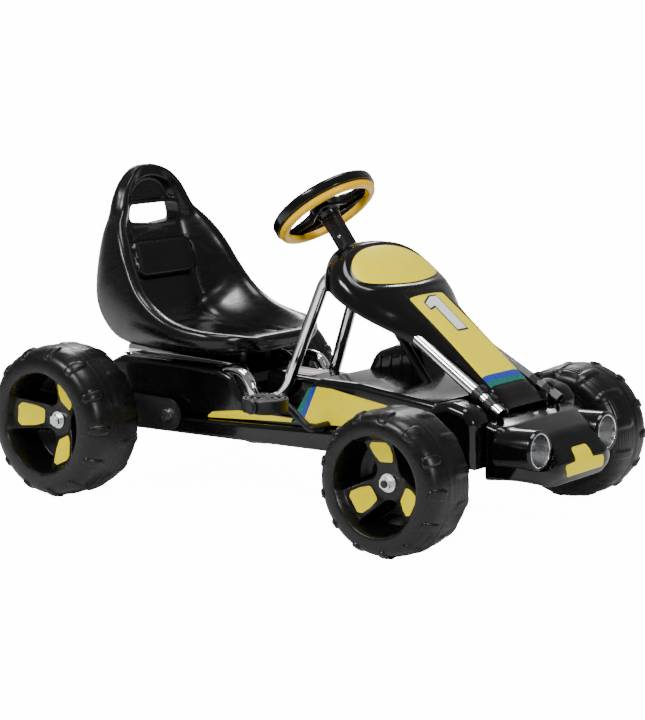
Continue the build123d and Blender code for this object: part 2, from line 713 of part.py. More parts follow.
def shaft_space():
    """Round holes for the axle, the crank and the rear cross tube."""
    reach = SILL_HALF + 10.0
    return [cross_rod(0, REAR_AXLE_Z, -reach, reach, BUSH_R + 4.0),
            cross_rod(CRANK_X, CRANK_Z, -reach, reach, CRANK_ROD_R + CUT_CLEAR),
            cross_rod(BRACKET_BOLT_X, RAIL_Z, -reach, reach, CROSS_R + CUT_CLEAR)]


def post_space():
    """Holes for the posts that carry the side tubes."""
    x = PLATFORM_REAR_X + 6.0
    return [upright(x, side * TUBE_FOOT_Y, 140.0, 170.0, 7.5) for side in (-1, 1)]


def rear_fairing():
    """The cover over the rear axle, under the seat."""
    front = PLATFORM_REAR_X - PANEL_GAP
    top = FAIRING_TOP_Z
    outline = [(-60.0, ridge_z(-60.0) + PANEL_GAP), (45.0, ridge_z(45.0) + PANEL_GAP),
               (front, ridge_z(front) + PANEL_GAP), (front - 6.0, 166.0), (front - 34.0, top - 8.0),
               (front - 62.0, top), (-20.0, top), (-48.0, top - 14.0)]
    cover = open_shell(outline, BODY_HALF) - shaft_space() - tube_space()
    return cover - rail_space() - chain_space()


def fairing_outline():
    rear, front = PLATFORM_FRONT_X + PANEL_GAP, WHEELBASE - 25.0
    step = SILL_FRONT_X + PANEL_GAP
    return [(rear, ridge_z(rear) + PANEL_GAP), (step, ridge_z(step) + PANEL_GAP), (front, 150.0),
            (front, 203.0), (585.0, 209.0), (490.0, 218.0), (415.0, 218.0), (rear, 196.0)]


def front_fairing():
    """The cover round the crank, with a flat side for the large sticker."""
    cover = open_shell(fairing_outline(), BODY_HALF)
    cover -= prism(hump_outline(SKIN), HUMP_HALF - SKIN, HUMP_Y)
    cover -= column_rod(250.0, 440.0, SHAFT_R + 6.0)
    return cover - shaft_space() - tube_space() - rail_space() - chain_space()


def hump_outline(inset=0.0):
    """Side outline of the chain cover, running down into the front fairing."""
    rear, front = 408.0 + inset, 532.0 - inset
    foot, top = 205.0 - inset, 266.0 - inset
    return [(rear, foot), (front, foot), (front - 20.0, top - 8.0), (front - 34.0, top),
            (rear + 62.0, top - 4.0), (rear + 20.0, top - 20.0)]


def chain_cover():
    """The tall ribbed hump over the chainring, standing on the front fairing."""
    cover = prism(hump_outline(), HUMP_HALF, HUMP_Y)
    near_face = HUMP_Y - HUMP_HALF
    for index in range(4):
        x = 436.0 + 22.0 * index
        cover += block((x, x + 5.0), (near_face - 2.0, near_face), (200.0, 248.0))
    cover -= prism(hump_outline(SKIN), HUMP_HALF - SKIN, HUMP_Y)
    return cover - Pos(0, 0, PANEL_GAP) * prism(fairing_outline(), BODY_HALF)


def front_deck():
    """The cover over the front beam, between the two axle covers."""
    rear, front = WHEELBASE - 25.0 + PANEL_GAP, WHEELBASE + 66.0
    half = COVER_HALF_Y[0] - PANEL_GAP
    outline = [(rear, 132.0), (front, 132.0), (front, 162.0), (rear, 168.0)]
    deck = open_shell(outline, half)
    half = STAY_THICK / 2 + 1.0
    for side in (-1, 1):
        deck -= block((WHEELBASE - 15.0, front - SKIN), span(side, STAY_Y - half, STAY_Y + half), (130.0, 240.0))
    return deck - tube_space() - rail_space()


def axle_cover():
    """Rounded cover over the left end of the front beam."""
    low, high = COVER_HALF_Y
    x = WHEELBASE
    outline = [(x - 22.0, 150.0), (x + 66.0, 150.0), (x + 66.0, 196.0), (x + 48.0, 211.0),
               (x + 20.0, 216.0), (x - 6.0, 211.0), (x - 22.0, 196.0)]
    cover = Pos(0, (low + high) / 2, 0) * open_shell(outline, (high - low) / 2)
    return cover - tube_space()


def nose_shell():
    """The nose, with a round housing for each headlight."""
    rear, front = WHEELBASE + COWL_REACH + PANEL_GAP, WHEELBASE + NOSE_REACH
    outline = [(rear, 98.0), (front - 14.0, 90.0), (front, 108.0), (front - 3.0, 132.0),
               (front - 30.0, 168.0), (front - 70.0, 184.0), (rear, 190.0)]
    outer = prism(outline, NOSE_HALF)
    plan = Pos((rear + front) / 2, 0, 0) * Rectangle(front - rear, 2 * NOSE_HALF)
    corners = plan.vertices().sort_by(Axis.X)[-2:]
    body = outer & raised(fillet(corners, 45.0), 300.0)
    inner = Pos(-SKIN, 0, 0) * (scale(body, by=(1.0, 1 - 2 * SKIN / NOSE_HALF / 2, 1.0)))
    hollow = inner & prism([(rear - 1.0, 96.0), (front - 18.0, 93.0), (front - SKIN, 108.0),
                            (front - 6.0, 130.0), (front - 32.0, 164.0), (front - 71.0, 180.5),
                            (rear - 1.0, 186.5)], NOSE_HALF)
    shell = body - hollow
    for side in (-1, 1):
        shell += rod(*lamp_axis(side, 0.0, 1.0), LAMP_R)
        shell -= rod(*lamp_axis(side, 0.12, 1.1), LAMP_RING_R + 1.0)
    return shell - tube_space()


def lamp_axis(side, start, end):
    """Two points on a headlight's axis, as shares of its housing's length."""
    length, rise = 66.0, 4.0
    x = WHEELBASE + NOSE_REACH - 20.0 - length
    points = []
    for share in (start, end):
        points.append((x + share * length, side * LAMP_Y, LAMP_Z - rise + share * rise))
    return points


def lamp_ring(side):
    return rod(*lamp_axis(side, 0.88, 1.02), LAMP_RING_R + 1.0, LAMP_RING_R - 2.5)


def lamp_bowl(side):
    bowl = rod(*lamp_axis(side, 0.2, 0.88), LAMP_RING_R + 0.8)
    return bowl - rod(*lamp_axis(side, 0.3, 0.9), LAMP_RING_R - 1.5)


def cowl_plan(inset=0.0):
    """Outline of the cowl from above: a wide round end and a narrow neck."""
    front = WHEELBASE + COWL_REACH
    side = [(394.0, 58.0), (425.0, 106.0), (470.0, 126.0), (515.0, 117.0), (556.0, 84.0),
            (605.0, 61.0), (front - 50.0, 56.0), (front, 57.0)]
    side = [(383.0 + inset, 0.0)] + [(x, y - inset) for x, y in side]
    left = Spline(*side, tangents=[(0, 1), (1, 0.1)])
    right = Spline(*[(x, -y) for x, y in side], tangents=[(0, -1), (1, -0.1)])
    return make_face([left, Line(left @ 1, right @ 1), right])


def cowl():
    """The panel over the column and the side tubes, open underneath."""
    front = WHEELBASE + COWL_REACH
    top = [(380.0, 404.0), (396.0, 420.0), (425.0, 428.0), (455.0, 419.0), (489.0, 395.0),
           (544.0, 352.0), (front - 36.0, 230.0), (front - 12.0, 206.0), (front + 1.0, 198.0)]
    bottom = [(front + 1.0, 178.0), (front - 36.0, 190.0), (600.0, 264.0), (520.0, 320.0),
              (450.0, 358.0), (380.0, 376.0)]
    body = raised(cowl_plan(), 500.0) & prism(top + bottom, 140.0)
    lower_top = [(x, z - 1.4 * SKIN) for x, z in top]
    deep_bottom = [(x, z - 60.0) for x, z in bottom]
    hollow = raised(cowl_plan(SKIN), 500.0) & prism(lower_top + deep_bottom, 140.0)
    shell = body - hollow
    column = column_rod(10.0, BRACKET_AT[1] + 6.0, COLUMN_SLEEVE_R + CUT_CLEAR)
    return shell - tube_space() - column - bracket_space()


def body_screws():
    """Screws in the top of the rear and front fairings."""
    screws = Part()
    for x, z in ((230.0, 0.0), (20.0, 0.0)):
        for side in (-1, 1):
            screws += upright(x - 40.0, side * 92.0, FAIRING_TOP_Z, FAIRING_TOP_Z + 2.5, 5.0)
    return screws


# ---------------------------------------------------------------- seat

def seat_shell():
    """A moulded bucket seat with a hand slot in its back."""
    base, top = SEAT_BASE_Z, SEAT_TOP_Z
    side = [(-44.0, base + 2), (20.0, base), (200.0, base), (248.0, base + 12.0), (250.0, base + 22.0),
            (205.0, base + 36.0), (130.0, base + 46.0), (70.0, base + 70.0), (20.0, base + 130.0),
            (-10.0, base + 200.0), (-30.0, base + 262.0), (-44.0, top), (-66.0, top),
            (-76.0, base + 210.0), (-80.0, base + 120.0), (-64.0, base + 42.0)]
    front = [(0.0, top), (34.0, top - 6.0), (58.0, top - 27.0), (76.0, top - 56.0), (90.0, top - 88.0),
             (112.0, top - 112.0), (134.0, top - 150.0), (150.0, top - 215.0), (SEAT_HALF, top - 255.0),
             (140.0, base), (0.0, base)]
    outline = front + [(-y, z) for y, z in front[::-1][1:-1]]
    rear_view = make_face(Plane.YZ * Polyline(*outline, close=True))
    body = prism(side, SEAT_HALF) & extrude(rear_view, amount=400.0, both=True)
    plan = Pos(70.0, 0, 0) * Rectangle(360.0, 2 * SEAT_HALF)
    lip = plan.vertices().sort_by(Axis.X)[-2:]
    body &= raised(fillet(lip, 95.0), 600.0)
    cavity = [(-46.0, top + 20.0), (-45.0, base + 222.0), (-32.0, base + 166.0), (-12.0, base + 106.0),
              (8.0, base + 56.0), (48.0, base + 23.0), (100.0, base + 15.0), (190.0, base + 18.0),
              (262.0, base + 32.0), (300.0, top + 20.0)]
    body -= prism(cavity, SEAT_HALF - SEAT_RIM) & inside_back(rear_view, SEAT_RIM)
    behind = [(-130.0, base + 190.0), (-56.0, base + 190.0), (-48.0, base + 166.0), (-29.0, base + 106.0),
              (-12.0, base + 62.0), (-30.0, base + 30.0), (-130.0, base + 30.0)]
    wall = 2 * SEAT_RIM
    body -= prism(behind, SEAT_HALF - wall) & inside_back(rear_view, wall)
    slot = block((-150.0, 0.0), (-SLOT_HALF, SLOT_HALF), (top - 103.0, top - 69.0))
    corners = slot.edges().filter_by(Axis.X)
    return body - fillet(corners, 9.0)


def inside_back(rear_view, rim):
    """The space inside the seat's side bolsters and top rim."""
    inner = offset(rear_view, -rim, kind=Kind.INTERSECTION)
    return extrude(inner, amount=600.0, both=True)


def seat_rails():
    rails = Part()
    for side in (-1, 1):
        y_range = span(side, SEAT_RAIL_Y - SEAT_RAIL_W / 2, SEAT_RAIL_Y + SEAT_RAIL_W / 2)
        rails += block((0.0, 190.0), y_range, (FAIRING_TOP_Z + 0.1, SEAT_BASE_Z - 9.0))
    return rails


def seat_runners():
    runners = Part()
    for side in (-1, 1):
        y_range = span(side, SEAT_RAIL_Y - SEAT_RAIL_W / 2, SEAT_RAIL_Y + SEAT_RAIL_W / 2)
        runners += block((25.0, 150.0), y_range, (SEAT_BASE_Z - 9.0 + PANEL_GAP, SEAT_BASE_Z))
    return runners


# ---------------------------------------------------------------- export

def all_parts():
    parts = {
        "body_tub": body_tub(), "rear_fairing": rear_fairing(), "front_fairing": front_fairing(),
        "chain_cover": chain_cover(), "centre_tunnel": centre_tunnel(), "front_deck": front_deck(), "nose_shell": nose_shell(),
        "cowl": cowl(), "main_frame": main_frame(), "kingpins": kingpins(),
        "column_bracket": column_bracket(), "column_bush": column_bush(), "body_screws": body_screws(),
        "crank_bushes": crank_bushes(), "chain": chain(), "seat_rails": seat_rails(),
        "rear_axle": rear_axle(), "rear_sprocket": rear_sprocket(), "chainring": chainring(),
        "crank_rod": crank_rod(), "pedal_caps": pedal_caps(), "steering_shaft": steering_shaft(),
        "column_sleeve": column_sleeve(), "steering_rim": steering_rim(),
        "steering_grip": steering_grip(), "steering_spokes": steering_spokes(),
        "steering_cap": steering_cap(), "pitman_arm": pitman_arm(), "steering_nut": steering_nut(),
        "seat_shell": seat_shell(), "seat_runners": seat_runners(),
    }
    left_parts = {
        "rear_wheel": rear_wheel(), "front_wheel": front_wheel(), "rear_bracket": rear_bracket(),
        "front_wheel_nut": wheel_nut(WHEELBASE, FRONT_AXLE_Z, FRONT_TRACK),
        "side_tube": side_tube(), "axle_cover": axle_cover(), "knuckle": knuckle(),
        "lamp_ring": lamp_ring(1), "lamp_bowl": lamp_bowl(1),
    }
    for name, shape in left_parts.items():
        parts[name + "_left"] = shape
        parts[name + "_right"] = mirrored(shape)
    pairs = {
        "axle_spacers": axle_spacer(), "rear_bushes": rear_bush(), "bracket_bolts": bracket_bolt(),
        "rear_wheel_nuts": wheel_nut(0, REAR_AXLE_Z, REAR_TRACK),
        "tube_clamps": tube_clamp(CLAMP_AT[0]) + tube_clamp(CLAMP_AT[1]),
        "clamp_screws": clamp_screw(CLAMP_AT[0]) + clamp_screw(CLAMP_AT[1]),
    }
    for name, shape in pairs.items():
        parts[name] = shape + mirrored(shape)
    for name, side in (("left", 1), ("right", -1)):
        parts["pedal_" + name] = pedal(side)
        parts["tie_rod_" + name] = tie_rod(side)
    return parts


def export_all():
    os.makedirs("parts", exist_ok=True)
    centre_x = (WHEELBASE + NOSE_REACH - REAR_WHEEL_R) / 2
    for name, shape in all_parts().items():
        export_step(Pos(-centre_x, 0, 0) * shape, "parts/" + name + ".step")


export_all()
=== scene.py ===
import json
import math

import bmesh
import bpy
import numpy as np
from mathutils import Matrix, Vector
from mathutils.geometry import delaunay_2d_cdt


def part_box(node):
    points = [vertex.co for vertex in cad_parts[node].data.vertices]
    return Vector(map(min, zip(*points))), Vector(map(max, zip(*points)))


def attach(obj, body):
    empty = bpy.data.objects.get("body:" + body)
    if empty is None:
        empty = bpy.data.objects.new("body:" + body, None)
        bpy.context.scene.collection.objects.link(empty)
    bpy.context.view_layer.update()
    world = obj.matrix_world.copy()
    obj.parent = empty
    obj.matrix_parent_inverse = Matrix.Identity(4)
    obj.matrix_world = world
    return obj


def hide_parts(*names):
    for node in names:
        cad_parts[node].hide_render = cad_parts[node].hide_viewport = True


# A child's pedal go kart. Shapes are worked out in millimetres in the kart's own
# directions (X forward from the rear axle, Y to the driver's left, Z up from the
# ground) and are turned into metres in the row frame as each mesh is made.

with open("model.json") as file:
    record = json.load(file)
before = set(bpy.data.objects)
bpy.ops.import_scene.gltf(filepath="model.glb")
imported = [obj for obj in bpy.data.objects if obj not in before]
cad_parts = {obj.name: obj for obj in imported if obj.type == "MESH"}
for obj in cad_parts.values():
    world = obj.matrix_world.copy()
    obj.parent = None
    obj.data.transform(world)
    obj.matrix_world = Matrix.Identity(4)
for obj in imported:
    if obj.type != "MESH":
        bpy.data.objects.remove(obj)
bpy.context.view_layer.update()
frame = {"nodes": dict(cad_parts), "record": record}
NODES = frame["nodes"]

rear_low, rear_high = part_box("rear_wheel_left")
AXLE_X = (rear_low.x + rear_high.x) / 2


def row(points):
    """Kart millimetres to row-frame metres."""
    moved = np.asarray(points, float) / 1000
    moved[..., 0] += AXLE_X
    return moved


# ---------------------------------------------------------------- camera and light

PHOTO_AZIMUTH = 38.5
LENS, SENSOR = 106.8, 36.0
CAMERA_AT, CAMERA_TARGET = (2.1389, -2.7169, 0.8007), (-0.0229, 0.0, 0.2250)


def new_object(name, data):
    obj = bpy.data.objects.new(name, data)
    bpy.context.scene.collection.objects.link(obj)
    return obj


def aim(obj, target):
    direction = Vector(target) - obj.location
    obj.rotation_mode = "QUATERNION"
    obj.rotation_quaternion = direction.to_track_quat("-Z", "Y")


def add_camera():
    data = bpy.data.cameras.new("view_camera")
    data.lens = LENS
    data.sensor_width = SENSOR
    data.clip_end = 60.0
    camera = new_object("view_camera", data)
    camera.location = CAMERA_AT
    aim(camera, CAMERA_TARGET)
    bpy.context.scene.camera = camera


def add_light(name, location, target, size, power, colour=(1.0, 1.0, 1.0)):
    data = bpy.data.lights.new(name, "AREA")
    data.shape = "RECTANGLE"
    data.size, data.size_y = size
    data.energy = power
    data.color = colour
    light = new_object(name, data)
    light.location = location
    aim(light, target)


add_camera()
add_light("key_light", (-0.6, -2.4, 2.5), (0.0, 0.0, 0.25), (1.5, 0.4), 84.0)
add_light("front_light", (3.2, -0.7, 1.7), (0.1, 0.0, 0.2), (0.6, 1.1), 42.0)
add_light("back_light", (-1.9, 2.4, 2.2), (0.0, 0.0, 0.2), (1.8, 0.5), 55.0)
add_light("top_light", (0.3, 0.0, 3.0), (0.0, 0.0, 0.0), (1.5, 0.8), 40.0)


# ---------------------------------------------------------------- materials

def node_material(name):
    material = bpy.data.materials.new(name)
    material.use_nodes = True
    tree = material.node_tree
    tree.nodes.clear()
    output = tree.nodes.new("ShaderNodeOutputMaterial")
    shader = tree.nodes.new("ShaderNodeBsdfPrincipled")
    shader.inputs["Specular IOR Level"].default_value = 0.35
    tree.links.new(shader.outputs["BSDF"], output.inputs["Surface"])
    return material, tree, shader


def noise(tree, scale, detail=4.0, stretch=(1.0, 1.0, 1.0)):
    coordinates = tree.nodes.new("ShaderNodeTexCoord")
    mapping = tree.nodes.new("ShaderNodeMapping")
    mapping.inputs["Scale"].default_value = stretch
    texture = tree.nodes.new("ShaderNodeTexNoise")
    texture.inputs["Scale"].default_value = scale
    texture.inputs["Detail"].default_value = detail
    tree.links.new(coordinates.outputs["Object"], mapping.inputs["Vector"])
    tree.links.new(mapping.outputs["Vector"], texture.inputs["Vector"])
    return texture.outputs["Fac"]


def remap(tree, value, low, high, start=0.3, end=0.7):
    node = tree.nodes.new("ShaderNodeMapRange")
    node.inputs["From Min"].default_value = start
    node.inputs["From Max"].default_value = end
    node.inputs["To Min"].default_value = low
    node.inputs["To Max"].default_value = high
    tree.links.new(value, node.inputs["Value"])
    return node.outputs["Result"]


def mix_colour(tree, share, first, second):
    """Mixes a colour, or the colour from a socket, with a second colour."""
    node = tree.nodes.new("ShaderNodeMix")
    node.data_type = "RGBA"
    factor, start, end = node.inputs[0], node.inputs[6], node.inputs[7]
    if isinstance(first, tuple):
        start.default_value = (*first, 1.0)
    else:
        tree.links.new(first, start)
    end.default_value = (*second, 1.0)
    tree.links.new(share, factor)
    return node.outputs[2]


def times(tree, value, factor):
    node = tree.nodes.new("ShaderNodeMath")
    node.operation = "MULTIPLY"
    node.inputs[1].default_value = factor
    tree.links.new(value, node.inputs[0])
    return node.outputs[0]


def bumps(tree, heights):
    """Chains bump nodes; heights is a list of (value, strength, distance in metres)."""
    normal = None
    for value, strength, distance in heights:
        node = tree.nodes.new("ShaderNodeBump")
        node.inputs["Strength"].default_value = strength
        node.inputs["Distance"].default_value = distance
        tree.links.new(value, node.inputs["Height"])
        if normal is not None:
            tree.links.new(normal, node.inputs["Normal"])
        normal = node.outputs["Normal"]
    return normal


def edge_wear(tree, low=0.515, high=0.56):
    """Bright on sharp outward edges, from the surface's own curvature."""
    geometry = tree.nodes.new("ShaderNodeNewGeometry")
    return remap(tree, geometry.outputs["Pointiness"], 0.0, 1.0, low, high)


def plastic(name, dark, light, rough, grain=900.0, grain_depth=0.00004, coat=0.0, wave=0.0002, wear=0.25):
    """Moulded plastic: slow waves of the mould, fine grain, scuffs and rubbed edges."""
    material, tree, shader = node_material(name)
    patches = noise(tree, 14.0, 3.0)
    scuffs = noise(tree, 60.0, 8.0, (1.0, 0.25, 3.0))
    fine = noise(tree, grain, 2.0)
    waves = noise(tree, 9.0, 1.5)
    colour = mix_colour(tree, remap(tree, patches, 0.0, 1.0), dark, light)
    rubbed = tuple(min(1.0, c * 1.5 + 0.02) for c in light)
    colour = mix_colour(tree, times(tree, edge_wear(tree), wear), colour, rubbed)
    tree.links.new(colour, shader.inputs["Base Color"])
    tree.links.new(remap(tree, scuffs, rough * 0.82, rough * 1.22), shader.inputs["Roughness"])
    tree.links.new(bumps(tree, [(waves, 0.5, wave), (fine, 0.4, grain_depth)]), shader.inputs["Normal"])
    if coat:
        shader.inputs["Coat Weight"].default_value = coat
        shader.inputs["Coat Roughness"].default_value = 0.06
    return material


def metal(name, dark, light, rough, grain=300.0, depth=0.00002, stretch=(1.0, 1.0, 1.0), tarnish=None):
    material, tree, shader = node_material(name)
    patches = noise(tree, 22.0, 5.0)
    fine = noise(tree, grain, 3.0, stretch)
    colour = mix_colour(tree, remap(tree, patches, 0.0, 1.0), dark, light)
    if tarnish:
        spots = noise(tree, 90.0, 8.0)
        colour = mix_colour(tree, remap(tree, spots, 0.0, 0.5, 0.62, 0.74), colour, tarnish)
    tree.links.new(colour, shader.inputs["Base Color"])
    shader.inputs["Metallic"].default_value = 1.0
    tree.links.new(remap(tree, patches, rough * 0.75, rough * 1.3), shader.inputs["Roughness"])
    tree.links.new(bumps(tree, [(fine, 0.5, depth)]), shader.inputs["Normal"])
    return material


def film(name, dark, light, rough=0.3):
    """Printed vinyl: slightly uneven ink and faint ripples."""
    material, tree, shader = node_material(name)
    ink = noise(tree, 220.0, 6.0)
    ripple = noise(tree, 34.0, 2.0)
    colour = mix_colour(tree, remap(tree, ink, 0.0, 1.0, 0.35, 0.65), dark, light)
    tree.links.new(colour, shader.inputs["Base Color"])
    tree.links.new(remap(tree, ripple, rough * 0.8, rough * 1.25), shader.inputs["Roughness"])
    tree.links.new(bumps(tree, [(ripple, 0.5, 0.0003), (ink, 0.2, 0.00003)]), shader.inputs["Normal"])
    shader.inputs["Specular IOR Level"].default_value = 0.2
    return material


GLOSS = plastic("gloss_black_plastic", (0.0018, 0.0018, 0.0020), (0.0032, 0.0032, 0.0035), 0.15,
                coat=0.2, wear=0.10)
SEAT = plastic("seat_black_plastic", (0.0022, 0.0022, 0.0025), (0.0040, 0.0040, 0.0043), 0.24,
               coat=0.1, wear=0.10)
TYRE = plastic("tyre_black_plastic", (0.0024, 0.0024, 0.0027), (0.0044, 0.0044, 0.0048), 0.31,
               1400.0, 0.00008, wear=0.12)
SATIN = plastic("satin_black_plastic", (0.0028, 0.0028, 0.0032), (0.0055, 0.0055, 0.0060), 0.38,
                1200.0, 0.00008, wear=0.12)
CHROME = metal("chrome_plate", (0.82, 0.83, 0.85), (0.93, 0.93, 0.94), 0.07)
ZINC = metal("zinc_plate", (0.56, 0.58, 0.62), (0.78, 0.79, 0.80), 0.26, 500.0, 0.00005,
             tarnish=(0.34, 0.33, 0.30))
BLACK_STEEL = plastic("black_painted_steel", (0.004, 0.004, 0.0045), (0.008, 0.008, 0.009), 0.34,
                      700.0, 0.00012)
GREY_STEEL = plastic("dark_powder_coat", (0.008, 0.008, 0.009), (0.014, 0.014, 0.015), 0.38, 900.0, 0.00014)
CHAIN_STEEL = metal("oiled_chain_steel", (0.20, 0.19, 0.18), (0.36, 0.35, 0.33), 0.34, 400.0, 0.00004,
                    tarnish=(0.10, 0.08, 0.06))
NYLON = plastic("natural_nylon", (0.55, 0.54, 0.50), (0.68, 0.67, 0.63), 0.45, 800.0, 0.00006)
LAMP = metal("lamp_reflector", (0.30, 0.31, 0.32), (0.46, 0.47, 0.48), 0.28)
YELLOW = film("yellow_film", (0.95, 0.77, 0.0), (1.0, 0.83, 0.0))
WHITE = film("white_film", (0.83, 0.83, 0.85), (0.90, 0.90, 0.91))
NAVY = film("navy_film", (0.012, 0.014, 0.055), (0.020, 0.022, 0.075))
BLUE = film("blue_film", (0.020, 0.055, 0.33), (0.030, 0.075, 0.40))
GREEN = film("green_film", (0.008, 0.13, 0.10), (0.014, 0.18, 0.14))
GRIP = plastic("orange_yellow_plastic", (0.96, 0.52, 0.0), (1.0, 0.58, 0.0), 0.30, 900.0, 0.00005, 0.15,
               wear=0.0)

BY_SLOT = {"gloss_black": GLOSS, "tyre_black": TYRE, "satin_black": SATIN, "yellow": GRIP, "chrome": CHROME,
           "zinc": ZINC, "black_steel": BLACK_STEEL, "grey_steel": GREY_STEEL, "nylon": NYLON,
           "lamp_grey": LAMP}
BY_NODE = {"chain": CHAIN_STEEL, "chainring": CHAIN_STEEL, "rear_sprocket": CHAIN_STEEL}
SLOT_OF = {part["node"]: part["material_slot"] for part in frame["record"]["subparts"]}

for node_name, node_object in NODES.items():
    chosen = BY_NODE.get(node_name, BY_SLOT[SLOT_OF[node_name]])
    node_object.data.materials.clear()
    node_object.data.materials.append(chosen)


# ---------------------------------------------------------------- mesh helpers

def make_object(name, points, faces, material, sharp=35.0):
    mesh = bpy.data.meshes.new(name)
    mesh.from_pydata(row(points).tolist(), [], [list(map(int, face)) for face in faces])
    work = bmesh.new()
    work.from_mesh(mesh)
    bmesh.ops.remove_doubles(work, verts=work.verts, dist=0.00001)
    bmesh.ops.dissolve_degenerate(work, edges=work.edges, dist=0.000005)
    bmesh.ops.recalc_face_normals(work, faces=work.faces)
    work.to_mesh(mesh)
    work.free()
    mesh.polygons.foreach_set("use_smooth", [True] * len(mesh.polygons))
    mesh.set_sharp_from_angle(angle=math.radians(sharp))
    mesh.materials.append(material)
    return new_object(name, mesh)


def settle(obj, body, slot, *replaced):
    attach(obj, body)
    if replaced:
        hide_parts(*replaced)
    return obj


def apply_modifiers(obj):
    graph = bpy.context.evaluated_depsgraph_get()
    baked = bpy.data.meshes.new_from_object(obj.evaluated_get(graph))
    old = obj.data
    obj.modifiers.clear()
    obj.data = baked
    bpy.data.meshes.remove(old)
    baked.polygons.foreach_set("use_smooth", [True] * len(baked.polygons))


def cut_away(obj, cutter):
    """Takes one closed mesh out of another."""
    cut = obj.modifiers.new("cut", "BOOLEAN")
    cut.operation = "DIFFERENCE"
    cut.solver = "EXACT"
    cut.object = cutter
    apply_modifiers(obj)
    bpy.data.objects.remove(cutter)


def thicken(obj, millimetres, sharp=40.0):
    modifier = obj.modifiers.new("skin", "SOLIDIFY")
    modifier.thickness = abs(millimetres) / 1000
    modifier.offset = -1.0 if millimetres > 0 else 1.0
    modifier.use_even_offset = False
    apply_modifiers(obj)
    obj.data.set_sharp_from_angle(angle=math.radians(sharp))


def grid_faces(rows, columns, wrap_rows=False, wrap_columns=False):
    faces = []
    for i in range(rows if wrap_rows else rows - 1):
        for j in range(columns if wrap_columns else columns - 1):
            a, b = i * columns + j, i * columns + (j + 1) % columns
            c = ((i + 1) % rows) * columns + (j + 1) % columns
            d = ((i + 1) % rows) * columns + j
            faces.append((a, b, c, d))
    return faces


def grid_object(name, grid, material, wrap_rows=False, wrap_columns=False, sharp=35.0):
    rows, columns = grid.shape[:2]
    faces = grid_faces(rows, columns, wrap_rows, wrap_columns)
    return make_object(name, grid.reshape(-1, 3), faces, material, sharp)


def loft(name, rings, material, sharp=35.0):
    """Closed rings of equal length joined one to the next, with a face across each end."""
    rings = np.asarray(rings, float)
    count, size = rings.shape[:2]
    faces = grid_faces(count, size, wrap_columns=True)
    faces.append(tuple(range(size)))
    faces.append(tuple(range((count - 1) * size, count * size)))
    return make_object(name, rings.reshape(-1, 3), faces, material, sharp)


def rounded(points, radii, closed=True, steps=6):
    """A polyline with an arc at each corner."""
    points = [np.asarray(p, float) for p in points]
    count = len(points)
    out = []
    for index, point in enumerate(points):
        radius = radii[index] if isinstance(radii, (list, tuple)) else radii
        if radius <= 0 or (not closed and index in (0, count - 1)):
            out.append(point)
            continue
        before = points[index - 1] - point
        after = points[(index + 1) % count] - point
        long_before, long_after = np.linalg.norm(before), np.linalg.norm(after)
        before, after = before / long_before, after / long_after
        angle = math.acos(float(np.clip(before @ after, -1, 1)))
        if angle > math.pi - 0.02:
            out.append(point)
            continue
        cut = min(radius / math.tan(angle / 2), 0.49 * long_before, 0.49 * long_after)
        radius = cut * math.tan(angle / 2)
        middle = before + after
        centre = point + middle / np.linalg.norm(middle) * radius / math.sin(angle / 2)
        start, end = point + before * cut - centre, point + after * cut - centre
        sweep = math.pi - angle
        for step in range(steps + 1):
            turn = sweep * step / steps
            out.append(centre + (start * math.sin(sweep - turn) + end * math.sin(turn)) / math.sin(sweep))
    return np.array(out)


def inset(path, distance):
    """A closed plane outline moved inwards."""
    ahead = np.roll(path, -1, 0) - path
    ahead /= np.maximum(np.linalg.norm(ahead, axis=1, keepdims=True), 1e-9)
    behind = np.roll(ahead, 1, 0)
    x, z = path[:, 0], path[:, 1]
    area = np.sum(x * np.roll(z, -1) - np.roll(x, -1) * z) / 2
    sign = 1.0 if area > 0 else -1.0
    left_a = np.stack([-ahead[:, 1], ahead[:, 0]], 1) * sign
    left_b = np.stack([-behind[:, 1], behind[:, 0]], 1) * sign
    middle = left_a + left_b
    middle /= np.maximum(np.linalg.norm(middle, axis=1, keepdims=True), 1e-9)
    stretch = 1 / np.maximum((middle * left_a).sum(1), 0.5)
    return path + middle * distance * stretch[:, None]


def soft_prism(name, outline, corners, y_mid, half, edge, material, shape=None, steps=5):
    """A side outline across the kart, with rounded corners and rounded side edges."""
    path = rounded(outline, corners)
    rings = []
    turns = [step / steps * math.pi / 2 for step in range(steps + 1)]
    stations = [(-1, turn) for turn in turns] + [(1, turn) for turn in reversed(turns)]
    for side, turn in stations:
        ring = inset(path, edge * (1 - math.sin(turn)))
        across = np.full(len(ring), y_mid + side * (half - edge * (1 - math.cos(turn))))
        rings.append(np.stack([ring[:, 0], across, ring[:, 1]], 1))
    rings = np.array(rings)
    if shape:
        rings = shape(rings)
    return loft(name, rings, material)


def lathe(name, profile, centre, axis, material, segments=64, sharp=35.0, start=None):
    """Turns a closed (along, radius) outline about an axis."""
    axis = Vector(axis).normalized()
    first = Vector(start) if start else axis.orthogonal().normalized()
    second = axis.cross(first)
    profile = np.asarray(profile, float)
    turn = np.linspace(0, 2 * math.pi, segments, endpoint=False)
    spokes = np.outer(np.cos(turn), np.array(first)) + np.outer(np.sin(turn), np.array(second))
    grid = (np.array(centre)[None, None] + profile[:, None, 0:1] * np.array(axis)
            + profile[:, None, 1:2] * spokes[None])
    return grid_object(name, grid, material, True, True, sharp)


def smooth(value, low=0.0, high=1.0):
    share = np.clip((np.asarray(value, float) - low) / (high - low), 0, 1)
    return share * share * (3 - 2 * share)


FILM_LIFT = 0.4


